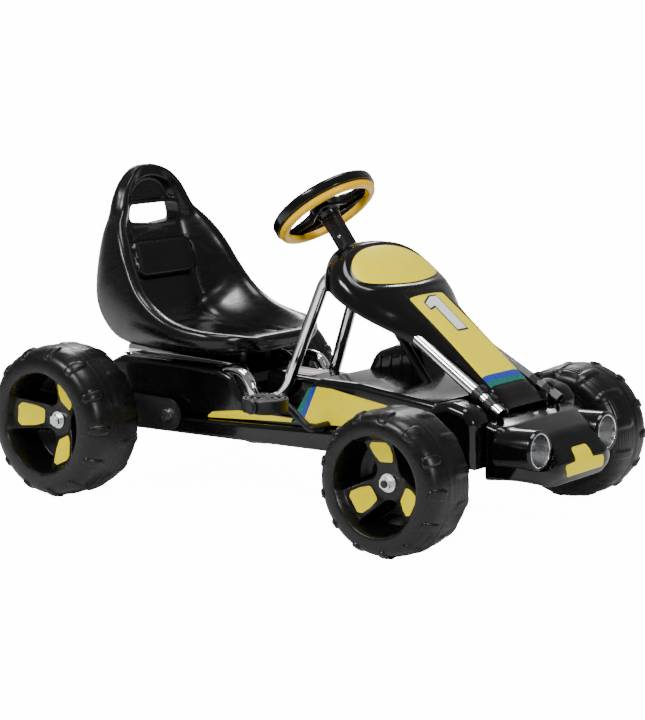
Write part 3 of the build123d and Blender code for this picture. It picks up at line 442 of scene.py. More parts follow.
def decal(name, outline, place, material, body, slot, lift=0.35, step=4.0, sink=0.5):
    """A flat outline pressed onto a surface. place maps (a, b) arrays to kart points."""
    outline = np.asarray(outline, float)
    edge = []
    count = len(outline)
    for index in range(count):
        start, end = outline[index], outline[(index + 1) % count]
        pieces = max(1, int(np.linalg.norm(end - start) / step))
        edge += [start + (end - start) * part / pieces for part in range(pieces)]
    edge = np.array(edge)
    low, high = edge.min(0), edge.max(0)
    inner = [(a, b) for a in np.arange(low[0] + step / 2, high[0], step)
             for b in np.arange(low[1] + step / 2, high[1], step)
             if inside(edge, a, b, step * 0.35)]
    points = [Vector(p) for p in edge] + [Vector(p) for p in inner]
    ring = [(i, (i + 1) % len(edge)) for i in range(len(edge))]
    flat, _, faces, _, _, _ = delaunay_2d_cdt(points, ring, [], 1, 0.0001)
    flat = np.array([tuple(v) for v in flat])
    low_side = lifted(place, flat, -sink)
    high_side = lifted(place, flat, lift)
    total = len(flat)
    sides = boundary(faces)
    every = [tuple(f) for f in faces] + [tuple(i + total for i in reversed(f)) for f in faces]
    every += [(a, b, b + total, a + total) for a, b in sides]
    obj = make_object(name, np.concatenate([low_side, high_side]), every, material, 50.0)
    return settle(obj, body, slot)


def inside(edge, a, b, margin):
    x, y = edge[:, 0], edge[:, 1]
    x2, y2 = np.roll(x, -1), np.roll(y, -1)
    crosses = ((y > b) != (y2 > b)) & (a < (x2 - x) * (b - y) / (y2 - y + 1e-12) + x)
    if crosses.sum() % 2 == 0:
        return False
    along = np.stack([x2 - x, y2 - y], 1)
    share = np.clip(((a - x) * along[:, 0] + (b - y) * along[:, 1]) / ((along ** 2).sum(1) + 1e-12), 0, 1)
    away = np.hypot(x + share * along[:, 0] - a, y + share * along[:, 1] - b)
    return away.min() > margin


def lifted(place, flat, distance):
    """Points of a surface moved along its normal."""
    a, b = flat[:, 0], flat[:, 1]
    base = place(a, b)
    along = place(a + 0.5, b) - place(a - 0.5, b)
    across = place(a, b + 0.5) - place(a, b - 0.5)
    normal = np.cross(along, across)
    normal /= np.linalg.norm(normal, axis=1, keepdims=True)
    return base + normal * distance


def boundary(faces):
    seen = {}
    for face in faces:
        for i in range(len(face)):
            pair = (face[i], face[(i + 1) % len(face)])
            if (pair[1], pair[0]) in seen:
                del seen[(pair[1], pair[0])]
            else:
                seen[pair] = True
    return list(seen)


def centre_of(node):
    """The middle of a CAD node's box, in kart millimetres."""
    low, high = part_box(node)
    middle = (np.array(low) + np.array(high)) / 2 * 1000
    middle[0] -= AXLE_X * 1000
    return middle


# ---------------------------------------------------------------- wheels

LUGS = 13
SPOKE_COUNT = 3
HUB_FACE = 7.7
BORE = 6.4


class WheelShape:
    """One moulded wheel. along is measured outwards from the parting line."""

    def __init__(self, radius, outer_half, inner_half, dish, spoke_turn):
        self.radius, self.outer, self.inner, self.dish = radius, outer_half, inner_half, dish
        self.spokes = [math.radians(spoke_turn + 120.0 * k) for k in range(SPOKE_COUNT)]

    def spoke_half(self, reach):
        return 15.5 + 0.165 * reach

    def face(self, r, turn):
        """Depth of the outer face at a radius and an angle."""
        r, turn = np.broadcast_arrays(np.asarray(r, float), np.asarray(turn, float))
        gap = np.full(r.shape, 1e3)
        for angle in self.spokes:
            reach, aside = r * np.cos(turn - angle), np.abs(r * np.sin(turn - angle))
            beside = np.where(reach > 0, aside - self.spoke_half(reach), 1e3)
            gap = soft_min(gap, beside, 9.0)
        gap = soft_min(gap, r - 25.0, 9.0)
        rim = self.outer - 15.0
        spoke = HUB_FACE + (rim - HUB_FACE) * smooth(r, 24.0, self.dish + 6.0) ** 0.9
        bowl = -20.0 + 12.0 * smooth(r, 50.0, self.dish)
        across = smooth(gap, -1.5, 9.0)
        base = spoke * (1 - across) + bowl * across
        wall = smooth(r, self.dish - 9.0, self.dish)
        lip = self.outer - 0.6
        return base * (1 - wall) + lip * wall

    def spoke_place(self, angle, side):
        def place(reach, aside):
            r = np.hypot(reach, aside)
            turn = angle + np.arctan2(aside, reach)
            depth = self.face(r, turn)
            return np.stack([r * np.cos(turn), side * depth, r * np.sin(turn)], 1)
        return place


def soft_min(a, b, blend):
    share = np.clip(0.5 + 0.5 * (b - a) / blend, 0, 1)
    return b * (1 - share) + a * share - blend * share * (1 - share)


def stadium(along, across, half_long, half_wide, edge):
    """1 inside a pill shape, falling to 0 over its edge."""
    over = np.maximum(np.abs(along) - (half_long - half_wide), 0)
    return 1 - smooth(np.hypot(over, across), half_wide - edge, half_wide)


def wheel_skin(shape):
    """The wheel's skin as a grid of (radius, along) by angle."""
    turns = np.linspace(0, 2 * math.pi, 364, endpoint=False)
    rings = [(np.full_like(turns, BORE), np.full_like(turns, -shape.inner + 5.0))]
    for r in np.concatenate([[BORE, 9.0, 14.0, 18.0], np.linspace(21.0, shape.dish - 11, 40),
                             np.linspace(shape.dish - 10, shape.dish, 14)]):
        rings.append((np.full_like(turns, r), shape.face(r, turns)))
    steps = 104
    power = 2 / 3.3
    tread_r = shape.radius - 3.0
    pitch = 2 * math.pi / LUGS
    local = (turns + pitch / 2) % pitch - pitch / 2
    offset_local = turns % pitch - pitch / 2
    for k in range(1, steps):
        angle = math.pi * (k / steps)
        c, s = math.cos(angle), math.sin(angle)
        half = shape.outer if c > 0 else shape.inner
        along = half * math.copysign(abs(c) ** power, c)
        r = shape.dish + (tread_r - shape.dish) * s ** power
        normal = np.array([math.copysign(abs(c) ** 1.3, c), s ** 1.3])
        normal /= np.linalg.norm(normal)
        rise = np.zeros_like(turns)
        if along > 0:
            place_along = (angle / (math.pi / 2) - 0.60) * 62.0
            rise += 3.0 * stadium(place_along, r * local, 21.0, 8.5, 3.4)
            groove = stadium(place_along, r * local, 23.0, 10.0, 2.5)
            groove = groove - stadium(place_along, r * local, 21.0, 8.0, 2.0)
            rise -= 0.6 * np.clip(groove, 0, 1)
            rise -= 1.6 * (1 - smooth(abs(along - 1.5), 0.6, 2.4))
            rise += 0.9 * (1 - smooth(abs(along - 5.5), 0.8, 2.4))
        else:
            depth = -along
            fade = smooth(depth, 3.0, 8.0) * (1 - smooth(depth, shape.inner - 16, shape.inner - 6))
            ribs = 0.45 * math.sin(depth * 1.15) * float(fade)
            block = stadium(depth - shape.inner * 0.56, r * offset_local, 27.0, 10.0, 6.0)
            rise += ribs * (1 - block) + 2.2 * block - 1.2 * float(1 - smooth(depth, 0.5, 3.0))
        rings.append((r + normal[1] * rise, along + normal[0] * rise))
    lip = shape.inner
    for r, along in ((shape.dish, -lip), (shape.dish - 4.0, -lip + 1.6), (shape.dish - 6.0, -lip + 5.0),
                     (shape.dish - 20.0, -lip + 5.0), (shape.dish - 22.0, -lip + 7.0),
                     (34.0, -lip + 7.0), (31.0, -lip + 5.0), (24.0, -lip + 5.0), (12.0, -lip + 5.0)):
        rings.append((np.full_like(turns, r), np.full_like(turns, along)))
    return turns, rings


def add_wheel(node, body, side, outer_half, inner_half, dish, spoke_turn):
    low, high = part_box(node)
    radius = (high.z - low.z) / 2 * 1000
    total = (high.y - low.y) * 1000
    centre = centre_of(node)
    parting = centre[1] - side * (outer_half - inner_half) / 2
    assert abs(total - outer_half - inner_half) < 3.0
    shape = WheelShape(radius, outer_half, inner_half, dish, spoke_turn)
    turns, rings = wheel_skin(shape)
    grid = np.array([[r * np.cos(turns), side * along, r * np.sin(turns)] for r, along in rings])
    origin = np.array([centre[0], parting, centre[2]])
    grid = np.moveaxis(grid, 1, 2) + origin
    wheel = grid_object(node + "_moulding", grid, TYRE, True, True, 50.0)
    settle(wheel, body, "tyre_black", node)
    for index, angle in enumerate(shape.spokes):
        end = dish - 13.0
        outline = [(31.0, -11.5), (44.0, -17.0), (end - 6.0, -shape.spoke_half(end) + 7.5), (end, -13.0),
                   (end, 13.0), (end - 6.0, shape.spoke_half(end) - 7.5), (44.0, 17.0), (31.0, 11.5)]
        outline = rounded(outline, 4.5, steps=4)
        local = shape.spoke_place(angle, side)

        def place(a, b, local=local):
            return local(a, b) + origin

        flipped = outline[::-1] if side > 0 else outline
        decal(f"{node}_film_{index + 1}", flipped, place, YELLOW, body, "yellow",
              lift=0.5 * -side, sink=0.8 * -side, step=3.0)


REAR_FORM = (51.0, 70.5, 84.0)
FRONT_FORM = (45.0, 62.0, 76.0)
add_wheel("rear_wheel_left", "rear_axle", 1, *REAR_FORM, 10.0)
add_wheel("rear_wheel_right", "rear_axle", -1, *REAR_FORM, 175.0)
add_wheel("front_wheel_left", "front_wheel_left", 1, *FRONT_FORM, 80.0)
add_wheel("front_wheel_right", "front_wheel_right", -1, *FRONT_FORM, 95.0)


# ---------------------------------------------------------------- seat

def spline(knots, count):
    """Catmull-Rom through rows of numbers, evenly spread over the knots."""
    knots = np.asarray(knots, float)
    last = len(knots) - 1
    padded = np.concatenate([[2 * knots[0] - knots[1]], knots, [2 * knots[-1] - knots[-2]]])
    t = np.linspace(0, last, count)
    i = np.minimum(t.astype(int), last - 1)
    f = (t - i)[:, None]
    p0, p1, p2, p3 = padded[i], padded[i + 1], padded[i + 2], padded[i + 3]
    return 0.5 * (2 * p1 + (p2 - p0) * f + (2 * p0 - 5 * p1 + 4 * p2 - p3) * f ** 2
                  + (3 * p1 - p0 - 3 * p2 + p3) * f ** 3)


# Rows from under the front lip, along the pan, up the back and over its top: middle
# X and Z, rim X and Z, half width, flat share of the half width, and the flank's far
# end X and Z on the rear or underside
SEAT_ROWS = [
    (247, 239, 247, 240, 60, 0.55, 246, 236), (250, 246, 250, 248, 68, 0.55, 247, 236),
    (250, 255, 250, 257, 76, 0.55, 246, 235), (243, 262, 244, 264, 94, 0.55, 240, 234),
    (231, 263, 233, 268, 110, 0.52, 228, 234), (214, 258, 217, 271, 127, 0.50, 210, 234),
    (188, 252, 191, 274, 142, 0.48, 184, 234), (150, 249, 153, 279, 149, 0.48, 150, 234),
    (112, 248, 118, 288, 150, 0.48, 112, 234), (78, 250, 94, 299, 150, 0.47, 78, 234),
    (48, 257, 74, 312, 149, 0.46, 44, 235), (24, 270, 56, 328, 148, 0.45, 12, 238),
    (8, 290, 42, 346, 145, 0.45, -18, 248), (-3, 314, 30, 364, 141, 0.44, -42, 270),
    (-12, 340, 18, 384, 137, 0.43, -57, 300), (-22, 370, 6, 404, 130, 0.42, -65, 335),
    (-32, 400, -8, 424, 121, 0.44, -68, 374), (-40, 426, -20, 440, 109, 0.50, -69, 413),
    (-44, 448, -28, 456, 92, 0.55, -70, 445), (-45, 470, -33, 475, 82, 0.58, -72, 470),
    (-46, 490, -37, 493, 72, 0.58, -70, 492), (-47, 506, -41, 508, 59, 0.50, -68, 509),
    (-49, 518, -45, 519, 45, 0.40, -66, 521), (-52, 526, -50, 526, 29, 0.30, -64, 527),
    (-56, 530, -55, 530, 14, 0.20, -61, 530),
]


SEAT_HALF = 151.5


def seat_rings(rows=150, columns=97, flank=12, behind=41):
    """Closed rings: the bowl's face, one flank, the rear wall and the other flank."""
    table = spline(SEAT_ROWS, rows)
    middle, rim, far = table[:, 0:2], table[:, 2:4], table[:, 6:8]
    half, flat = table[:, 4], np.clip(table[:, 5], 0.1, 0.8)
    ahead = np.gradient(middle, axis=0)
    ahead /= np.linalg.norm(ahead, axis=1, keepdims=True)
    facing = np.stack([ahead[:, 1], -ahead[:, 0]], 1)
    across = np.linspace(-1, 1, columns)
    across = np.sign(across) * (1 - (1 - np.abs(across)) ** 1.25)
    v = np.abs(across)[None, :]
    rise = smooth((v - flat[:, None]) / (0.90 - flat[:, None])) ** 1.15
    roll = np.clip((v - 0.93) / 0.07, 0, 1)
    drop = 8.0 * (1 - np.sqrt(np.clip(1 - roll ** 2, 0, 1)))
    drop = drop * (smooth(half, 8.0, 60.0)[:, None] * 0.75 + 0.25)
    x = middle[:, 0:1] * (1 - rise) + rim[:, 0:1] * rise - facing[:, 0:1] * drop
    z = middle[:, 1:2] * (1 - rise) + rim[:, 1:2] * rise - facing[:, 1:2] * drop
    y = np.broadcast_to(half[:, None] * across[None, :], x.shape).copy()
    x, y, z = seat_details(x, y, z, facing)
    face = np.stack([x, y, z], 2)
    share = np.linspace(0, 1, flank + 2)[1:-1]
    taper = 26.0 - 16.0 * smooth(table[:, 3], 320.0, 400.0)
    swell = np.sin(share * math.pi)[None, :] * 4.0 - taper[:, None] * share[None, :] ** 2.4
    wide = half[:, None] + swell * smooth(half, 8.0, 60.0)[:, None]
    wide = np.minimum(wide, SEAT_HALF)
    flank_x = x[:, -1:] * (1 - share) + far[:, 0:1] * share
    flank_z = z[:, -1:] * (1 - share) + far[:, 1:2] * share
    right = np.stack([flank_x, wide, flank_z], 2)
    left = np.stack([flank_x, -wide, flank_z], 2)[:, ::-1]
    u = np.linspace(1, -1, behind)
    hollow = (1 - smooth(np.abs(u), 0.45, 0.95))[None, :] * smooth(table[:, 7], 250.0, 320.0)[:, None]
    hollow = hollow * (1 - smooth(table[:, 7], 418.0, 452.0))[:, None] * 0.62
    back_half = (half - taper * smooth(half, 8.0, 60.0))[:, None]
    back_x = far[:, 0:1] * (1 - hollow) + (middle[:, 0:1] - 6.0) * hollow
    back_z = far[:, 1:2] * (1 - hollow) + (middle[:, 1:2] - 4.0) * hollow
    rear = np.stack([back_x, np.broadcast_to(back_half * u, back_x.shape), back_z], 2)
    return np.concatenate([face, right, rear, left], 1)


def pushed(x, y, z, facing, amount):
    return x + facing[:, 0:1] * amount, y, z + facing[:, 1:2] * amount


def round_box(y, z, y_half, z_low, z_high, corner, soft):
    """1 inside a rounded rectangle on the seat back, 0 outside."""
    mid, half = (z_low + z_high) / 2, (z_high - z_low) / 2
    dy = np.maximum(np.abs(y) - (y_half - corner), 0)
    dz = np.maximum(np.abs(z - mid) - (half - corner), 0)
    return 1 - smooth(np.hypot(dy, dz), corner - soft, corner)


def seat_details(x, y, z, facing):
    """Raised pad, oval line, domed headrest and the recessed pan panel."""
    back = smooth(z, 268.0, 290.0)
    height = 9.0 * round_box(y, z, 76.0, 336.0, 404.0, 20.0, 7.0) * back
    oval = np.hypot(y / 108.0, (z - 346.0) / 72.0)
    line = np.exp(-((oval - 1.0) / 0.035) ** 2)
    height -= 2.6 * line * smooth(330.0 - z, -30.0, 30.0) * back
    height -= 2.5 * (1 - smooth(oval, 0.96, 1.0)) * back
    dome = np.hypot(y / 54.0, (z - 470.0) / 42.0)
    height -= 8.0 * (1 - smooth(dome, 0.82, 1.02)) * smooth(z, 466.0, 474.0)
    below_slot = round_box(y, z, 64.0, 420.0, 470.0, 14.0, 8.0)
    height += 3.0 * below_slot
    pan = np.hypot(np.maximum(np.abs(y) - 40.0, 0) / 52.0, (x - 132.0) / 96.0)
    front = 1 - smooth(z, 262.0, 275.0)
    height -= 3.0 * (1 - smooth(pan, 0.93, 1.0)) * front
    height -= 1.6 * np.exp(-((pan - 1.06) / 0.03) ** 2) * front
    return pushed(x, y, z, facing, height)


def add_seat():
    seat = loft("seat_moulding", seat_rings(), SEAT, 60.0)
    slot = rounded([(-59.0, 463.0), (59.0, 463.0), (63.0, 433.0), (0.0, 428.0), (-63.0, 433.0)],
                   [9.0, 9.0, 12.0, 60.0, 12.0], steps=8)
    rings = [np.stack([np.full(len(slot), depth), slot[:, 0], slot[:, 1]], 1) for depth in (-140.0, 60.0)]
    cutter = loft("slot_cutter", rings, SEAT)
    cut_away(seat, cutter)
    seat.data.set_sharp_from_angle(angle=math.radians(50.0))
    settle(seat, "seat", "gloss_black", "seat_shell")


add_seat()


# ---------------------------------------------------------------- cowl

COWL_HALF = [(383, 4), (386, 30), (394, 58), (407, 86), (425, 106), (447, 120), (470, 126), (495, 124),
             (515, 117), (535, 102), (556, 84), (580, 69), (605, 61), (640, 57), (687, 56), (738, 57)]
COWL_TOP = [(383, 404), (390, 413), (400, 421), (412, 426), (427, 427), (445, 423), (470, 409), (489, 395),
            (544, 352), (623, 291), (701, 230), (718, 215), (728, 205), (738, 198)]
COWL_LOW = [(383, 392), (390, 376), (400, 366), (430, 359), (450, 355), (520, 318), (600, 262), (701, 190),
            (738, 178)]


def along_table(table, x):
    """A smooth curve through a table's points."""
    table = np.asarray(table, float)
    dense = spline(table, 400)
    return np.interp(x, dense[:, 0], dense[:, 1])


def cowl_power(x):
    return 2.7 + 4.5 * smooth(x, 540.0, 640.0)


def cowl_relief(x, y):
    """The recessed oval with its raised rim, and the shallow panel under the number."""
    oval = np.hypot((x - 482.0) / 40.5, y / 108.0)
    relief = -2.0 * (1 - smooth(oval, 0.98, 1.06)) + 1.3 * np.exp(-((oval - 1.14) / 0.06) ** 2)
    panel = smooth(x, 536.0, 541.0) * (1 - smooth(x, 704.0, 708.0))
    panel = panel * (1 - smooth(np.abs(y) - (x - 544.0) * 0.045, 46.0, 48.5))
    return relief - 0.8 * panel


def cowl_top(x, y):
    half, top, low = along_table(COWL_HALF, x), along_table(COWL_TOP, x), along_table(COWL_LOW, x)
    power = cowl_power(x)
    share = np.clip(np.abs(y) / half, 0, 0.9999)
    return low + (top - low) * (1 - share ** power) ** (1 / power)


def cowl_place(x, y):
    """A point on top of the cowl, with its relief."""
    step = 0.5
    slope = (cowl_top(x + step, y) - cowl_top(x - step, y)) / (2 * step)
    tilt = (cowl_top(x, y + step) - cowl_top(x, y - step)) / (2 * step)
    normal = np.stack([-slope, -tilt, np.ones_like(slope)], 1)
    normal /= np.linalg.norm(normal, axis=1, keepdims=True)
    base = np.stack([x, y, cowl_top(x, y)], 1)
    return base + normal * cowl_relief(x, y)[:, None]


def add_cowl():
    rear_end = 383.0 + 40.0 * (np.linspace(0.0, 1.0, 22) ** 2)
    stations = np.concatenate([rear_end, np.linspace(425.0, 737.0, 150)])
    angles = np.linspace(0.0, math.pi, 121)
    grid = []
    for x in stations:
        half, top, low = (along_table(t, x) for t in (COWL_HALF, COWL_TOP, COWL_LOW))
        power = cowl_power(x)
        y = half * np.sign(np.cos(angles)) * np.abs(np.cos(angles)) ** (2 / power)
        z = low + (top - low) * np.sin(angles) ** (2 / power)
        flatness = smooth((z - low) / (top - low), 0.55, 0.8)
        placed = cowl_place(np.full_like(y, x), y)
        shift = placed - np.stack([np.full_like(y, x), y, cowl_top(np.full_like(y, x), y)], 1)
        grid.append(np.stack([np.full_like(y, x), y, z], 1) + shift * flatness[:, None])
    grid = np.array(grid)
    cowl = grid_object("cowl_moulding", grid, GLOSS, sharp=50.0)
    thicken(cowl, 3.0, 55.0)
    settle(cowl, "chassis", "gloss_black", "cowl")


add_cowl()


def ellipse(a_centre, b_centre, a_half, b_half, count=72):
    turn = np.linspace(0, 2 * math.pi, count, endpoint=False)
    return np.stack([a_centre + a_half * np.cos(turn), b_centre + b_half * np.sin(turn)], 1)


def cowl_film(name, outline, material, lift=FILM_LIFT, step=4.0):
    decal(name, outline, cowl_place, material, "chassis", "yellow", lift, step)


PANEL = [(543.5, -45.0), (685.0, -49.0), (685.0, 49.0), (543.5, 45.0)]
cowl_film("cowl_oval_film", ellipse(482.0, 0.0, 37.5, 102.0), YELLOW)
cowl_film("cowl_panel_film", rounded(PANEL, [3, 0, 0, 3]), YELLOW)
cowl_film("cowl_blue_stripe", [(685.0, -49.0), (694.5, -49.5), (694.5, 49.5), (685.0, 49.0)], BLUE)
cowl_film("cowl_green_stripe", [(694.5, -49.5), (702.0, -50.0), (702.0, 50.0), (694.5, 49.5)], GREEN)
DIGIT = [(549.0, 19.0), (549.0, 1.0), (557.5, -21.0), (567.0, -21.0), (564.0, -5.0), (608.0, -5.0),
         (608.0, 19.0)]
cowl_film("number_outline", inset(np.array(DIGIT), -2.6), NAVY, 0.75, 3.0)
cowl_film("number_one", DIGIT, WHITE, 1.05, 3.0)


# ---------------------------------------------------------------- steering wheel

WHEEL_CENTRE = np.array([340.0, 0.0, 476.0])
COLUMN_DOWN = np.array([0.616, 0.0, -0.788])
COLUMN_UP_SIDE = np.array([0.788, 0.0, 0.616])
ACROSS = np.array([0.0, 1.0, 0.0])


def on_column(t, side=0.0, across=0.0):
    return WHEEL_CENTRE + COLUMN_DOWN * t + COLUMN_UP_SIDE * side + ACROSS * across


def column_lathe(name, profile, material, slot, replaced=(), segments=96, sharp=35.0):
    obj = lathe(name, profile, WHEEL_CENTRE, COLUMN_DOWN, material, segments, sharp)
    return settle(obj, "steering", slot, *replaced)


def spider_outline(reach):
    """Outline of the hub with its three spokes, seen along the column."""
    turns = np.linspace(0, 2 * math.pi, 300, endpoint=False)
    radius = np.full_like(turns, 28.0)
    for k in range(SPOKE_COUNT):
        away = np.abs((turns - math.radians(120.0 * k - 90.0) + math.pi) % (2 * math.pi) - math.pi)
        beside = np.minimum(11.5 / np.maximum(np.sin(np.minimum(away, 1.5)), 0.01), reach)
        widened = np.where(away < 1.2, beside + 6.0 * np.exp(-((away - 0.42) / 0.2) ** 2), 0.0)
        radius = -soft_min(-radius, -widened, 12.0)
    radius = np.minimum(radius, reach)
    return turns, radius


def add_steering_wheel():
    band = rounded([(-15.0, 77.0), (-15.0, 90.9), (3.0, 90.9), (3.0, 77.0)], [6.0, 6.5, 2.0, 2.0], steps=8)
    column_lathe("steering_band", band, GLOSS, "satin_black", ("steering_rim",))
    ring = rounded([(3.2, 71.2), (3.2, 87.6), (14.0, 86.6), (14.6, 73.2)], [2.5, 2.5, 6.0, 6.5], steps=8)
    column_lathe("steering_ring", ring, GRIP, "yellow", ("steering_grip",))
    turns, radius = spider_outline(79.0)
    inner = radius - 3.2
    depth = 11.0 - 7.0 * smooth(radius, 30.0, 76.0)

    def ring_at(size, t):
        t = np.broadcast_to(t, size.shape)
        return (WHEEL_CENTRE + COLUMN_DOWN * t[:, None] + ACROSS * (size * np.cos(turns))[:, None]
                + COLUMN_UP_SIDE * (size * np.sin(turns))[:, None])

    dished = -8.0 + 3.0 * smooth(radius, 76.0, 30.0)
    rings = [ring_at(radius - 1.5, dished - 0.6), ring_at(radius, dished + 1.0), ring_at(radius, depth - 0.8),
             ring_at(radius - 0.8, depth), ring_at(inner + 0.6, depth), ring_at(inner, depth - 0.8),
             ring_at(inner, dished + 3.0)]
    spider = loft("steering_spider", rings, GLOSS, 40.0)
    settle(spider, "steering", "gloss_black", "steering_spokes")
    neck = rounded([(-4.0, 9.0), (-4.0, 26.0), (6.0, 25.5), (11.0, 19.5), (17.0, 17.2), (17.0, 9.0)],
                   [0, 2, 5, 5, 1, 0])
    column_lathe("steering_neck", neck, GLOSS, "gloss_black")
    pad = rounded([(-5.0, 2.0), (-5.0, 24.0), (-14.0, 24.5), (-19.8, 17.0), (-20.6, 2.0)], [0, 1, 6, 9, 0])
    column_lathe("steering_pad", pad, SATIN, "gloss_black", ("steering_cap",))
    for step in range(2):
        collar = rounded([(20.0 + 5.0 * step, 15.0), (20.0 + 5.0 * step, 16.9), (22.2 + 5.0 * step, 16.9),
                          (22.2 + 5.0 * step, 15.0)], [0, 0.8, 0.8, 0])
        column_lathe(f"sleeve_collar_{step + 1}", collar, GLOSS, "gloss_black")


add_steering_wheel()


def screw_head(name, at, direction, radius, body):
    """A round head with a round dip in its top, standing on a surface."""
    height = radius * 0.45
    profile = rounded([(0.0, 0.3), (0.0, radius), (height * 0.6, radius * 0.93), (height, radius * 0.5),
                       (height, radius * 0.32), (height * 0.35, radius * 0.22), (height * 0.35, 0.3)],
                      [0, 0.3, 0.9, 0.4, 0.2, 0.2, 0], steps=3)
    settle(lathe(name, profile, at, direction, ZINC, 24), body, "zinc")


screw_head("sleeve_screw", on_column(58.0, 6.0, -14.6), (0.1, -0.9, 0.2), 3.2, "steering")


# ---------------------------------------------------------------- body panels

def ridge_z(x):
    return 118.0 + max(x - 45.0, 0.0) * 0.055


def panel(name, outline, corners, y_mid, half, edge, replaced=(), shape=None, material=GLOSS):
    obj = soft_prism(name, outline, corners, y_mid, half, edge, material, shape)
    return settle(obj, "chassis", "gloss_black", *replaced)


def narrowed(low_z, high_z, amount):
    """Pulls a panel's sides in towards its top."""
    def shape(rings):
        share = smooth(rings[..., 2], low_z, high_z)
        rings[..., 1] *= 1 - amount * share
        return rings
    return shape


SIDE_Y = 112.0
SILL = [(-72.0, 90.0), (556.0, 108.0), (556.0, ridge_z(556.0)), (45.0, 118.0), (-72.0, 118.0)]
panel("sill_moulding", SILL, [8, 8, 8, 0, 8], 0.0, 126.0, 7.0, ("body_tub",))
panel("platform_moulding", [(255.0, 128.0), (392.0, 132.0), (392.0, 155.0), (255.0, 155.0)], [0, 0, 3, 3],
      0.0, SIDE_Y, 6.0)
panel("rear_moulding", [(-60.0, 115.0), (45.0, 116.0), (261.0, 126.0), (256.0, 166.0), (228.0, 204.0),
                        (200.0, 212.0), (-20.0, 212.0), (-48.0, 198.0)], [4, 4, 6, 20, 30, 24, 24, 18],
      0.0, SIDE_Y, 11.0, ("rear_fairing",))
panel("tunnel_moulding", [(250.0, 152.0), (395.0, 152.0), (395.0, 200.0), (250.0, 204.0)], [0, 0, 6, 6],
      0.0, 50.0, 9.0, ("centre_tunnel",), narrowed(160.0, 204.0, 0.08))
panel("front_moulding", [(385.3, 136.0), (556.0, 146.0), (645.0, 150.0), (645.0, 203.0), (585.0, 209.0),
                         (490.0, 218.0), (415.0, 218.0), (385.3, 196.0)], [3, 10, 6, 10, 30, 30, 22, 12],
      0.0, SIDE_Y, 9.0, ("front_fairing",))
panel("chain_hump", [(404.0, 200.0), (536.0, 200.0), (512.0, 258.0), (498.0, 266.0), (470.0, 262.0),
                     (428.0, 246.0)], [0, 0, 16, 14, 30, 26], 50.0, 36.0, 15.0, ("chain_cover",))
for index in range(4):
    x = 440.0 + 21.0 * index
    panel(f"hump_rib_{index + 1}", [(x, 206.0), (x + 5.0, 206.0), (x + 5.0, 244.0 + 3.0 * index),
                                    (x, 240.0 + 3.0 * index)], [0, 0, 2, 2], 14.5, 2.4, 1.2)
panel("deck_moulding", [(640.0, 134.0), (736.0, 132.0), (736.0, 162.0), (640.0, 168.0)], [4, 4, 6, 6],
      0.0, 95.5, 5.0, ("front_deck",))
for side, label in ((-1, "right"), (1, "left")):
    panel(f"axle_shroud_{label}", [(650.0, 122.0), (736.0, 116.0), (736.0, 190.0), (722.0, 208.0),
                                   (690.0, 216.0), (660.0, 210.0), (642.0, 188.0)],
          [14, 4, 16, 24, 40, 30, 20], side * 121.5, 26.5, 14.0, (f"axle_cover_{label}",))

NOSE_REAR, NOSE_FRONT, NOSE_HALF = 737.4, 840.8, 118.0
NOSE_CORNER = 62.0
LAMP_Y, LAMP_Z, LAMP_FRONT = 95.0, 151.0, 821.0
LAMP_AXIS = (1.0, 0.0, 0.06)


def nose_reach(y):
    """How far forward the nose comes at a place across the kart."""
    over = np.clip(abs(y) - (NOSE_HALF - NOSE_CORNER), 0, NOSE_CORNER)
    return NOSE_FRONT - NOSE_CORNER + math.sqrt(max(NOSE_CORNER ** 2 - over ** 2, 0.0))


def nose_profile():
    return rounded([(NOSE_REAR, 98.0), (827.0, 90.5), (NOSE_FRONT, 108.0), (838.0, 132.0), (811.0, 168.0),
                    (771.0, 184.0), (NOSE_REAR, 190.0)], [3, 12, 16, 24, 30, 30, 3], steps=10)


def add_nose():
    path = nose_profile()
    edge = 9.0
    flat = np.linspace(-1, 1, 61)
    stations = np.sin(flat * math.pi / 2) * (NOSE_HALF - edge)
    rings = []
    ends = [(edge * (1 - math.cos(t)), edge * (1 - math.sin(t))) for t in np.linspace(0, math.pi / 2, 6)[:-1]]
    left = [(-(NOSE_HALF - out), sink) for out, sink in ends]
    right = [(NOSE_HALF - out, sink) for out, sink in reversed(ends)]
    for y, sink in left + [(y, 0.0) for y in stations] + right:
        ring = inset(path, sink)
        reach = nose_reach(y)
        x = NOSE_REAR + (ring[:, 0] - NOSE_REAR) * (reach - NOSE_REAR) / (NOSE_FRONT - NOSE_REAR)
        crown = 4.0 * (y / NOSE_HALF) ** 2
        lift = 15.0 * smooth(abs(y), 62.0, NOSE_HALF) * smooth(x, 745.0, 800.0)
        low_share = 1 - smooth(ring[:, 1], 92.0, 150.0)
        z = ring[:, 1] - crown * smooth(ring[:, 1], 138.0, 190.0) + lift * low_share
        rings.append(np.stack([x, np.full(len(x), y), z], 1))
    nose = loft("nose_moulding", rings, GLOSS, 40.0)
    for side in (-1, 1):
        hole = lathe("lamp_cutter", [(-52.0, 0.5), (-52.0, 30.0), (30.0, 31.5), (30.0, 0.5)],
                     (LAMP_FRONT, side * LAMP_Y, LAMP_Z), LAMP_AXIS, GLOSS, 64)
        cut_away(nose, hole)
    nose.data.set_sharp_from_angle(angle=math.radians(38.0))
    settle(nose, "chassis", "gloss_black", "nose_shell")


add_nose()


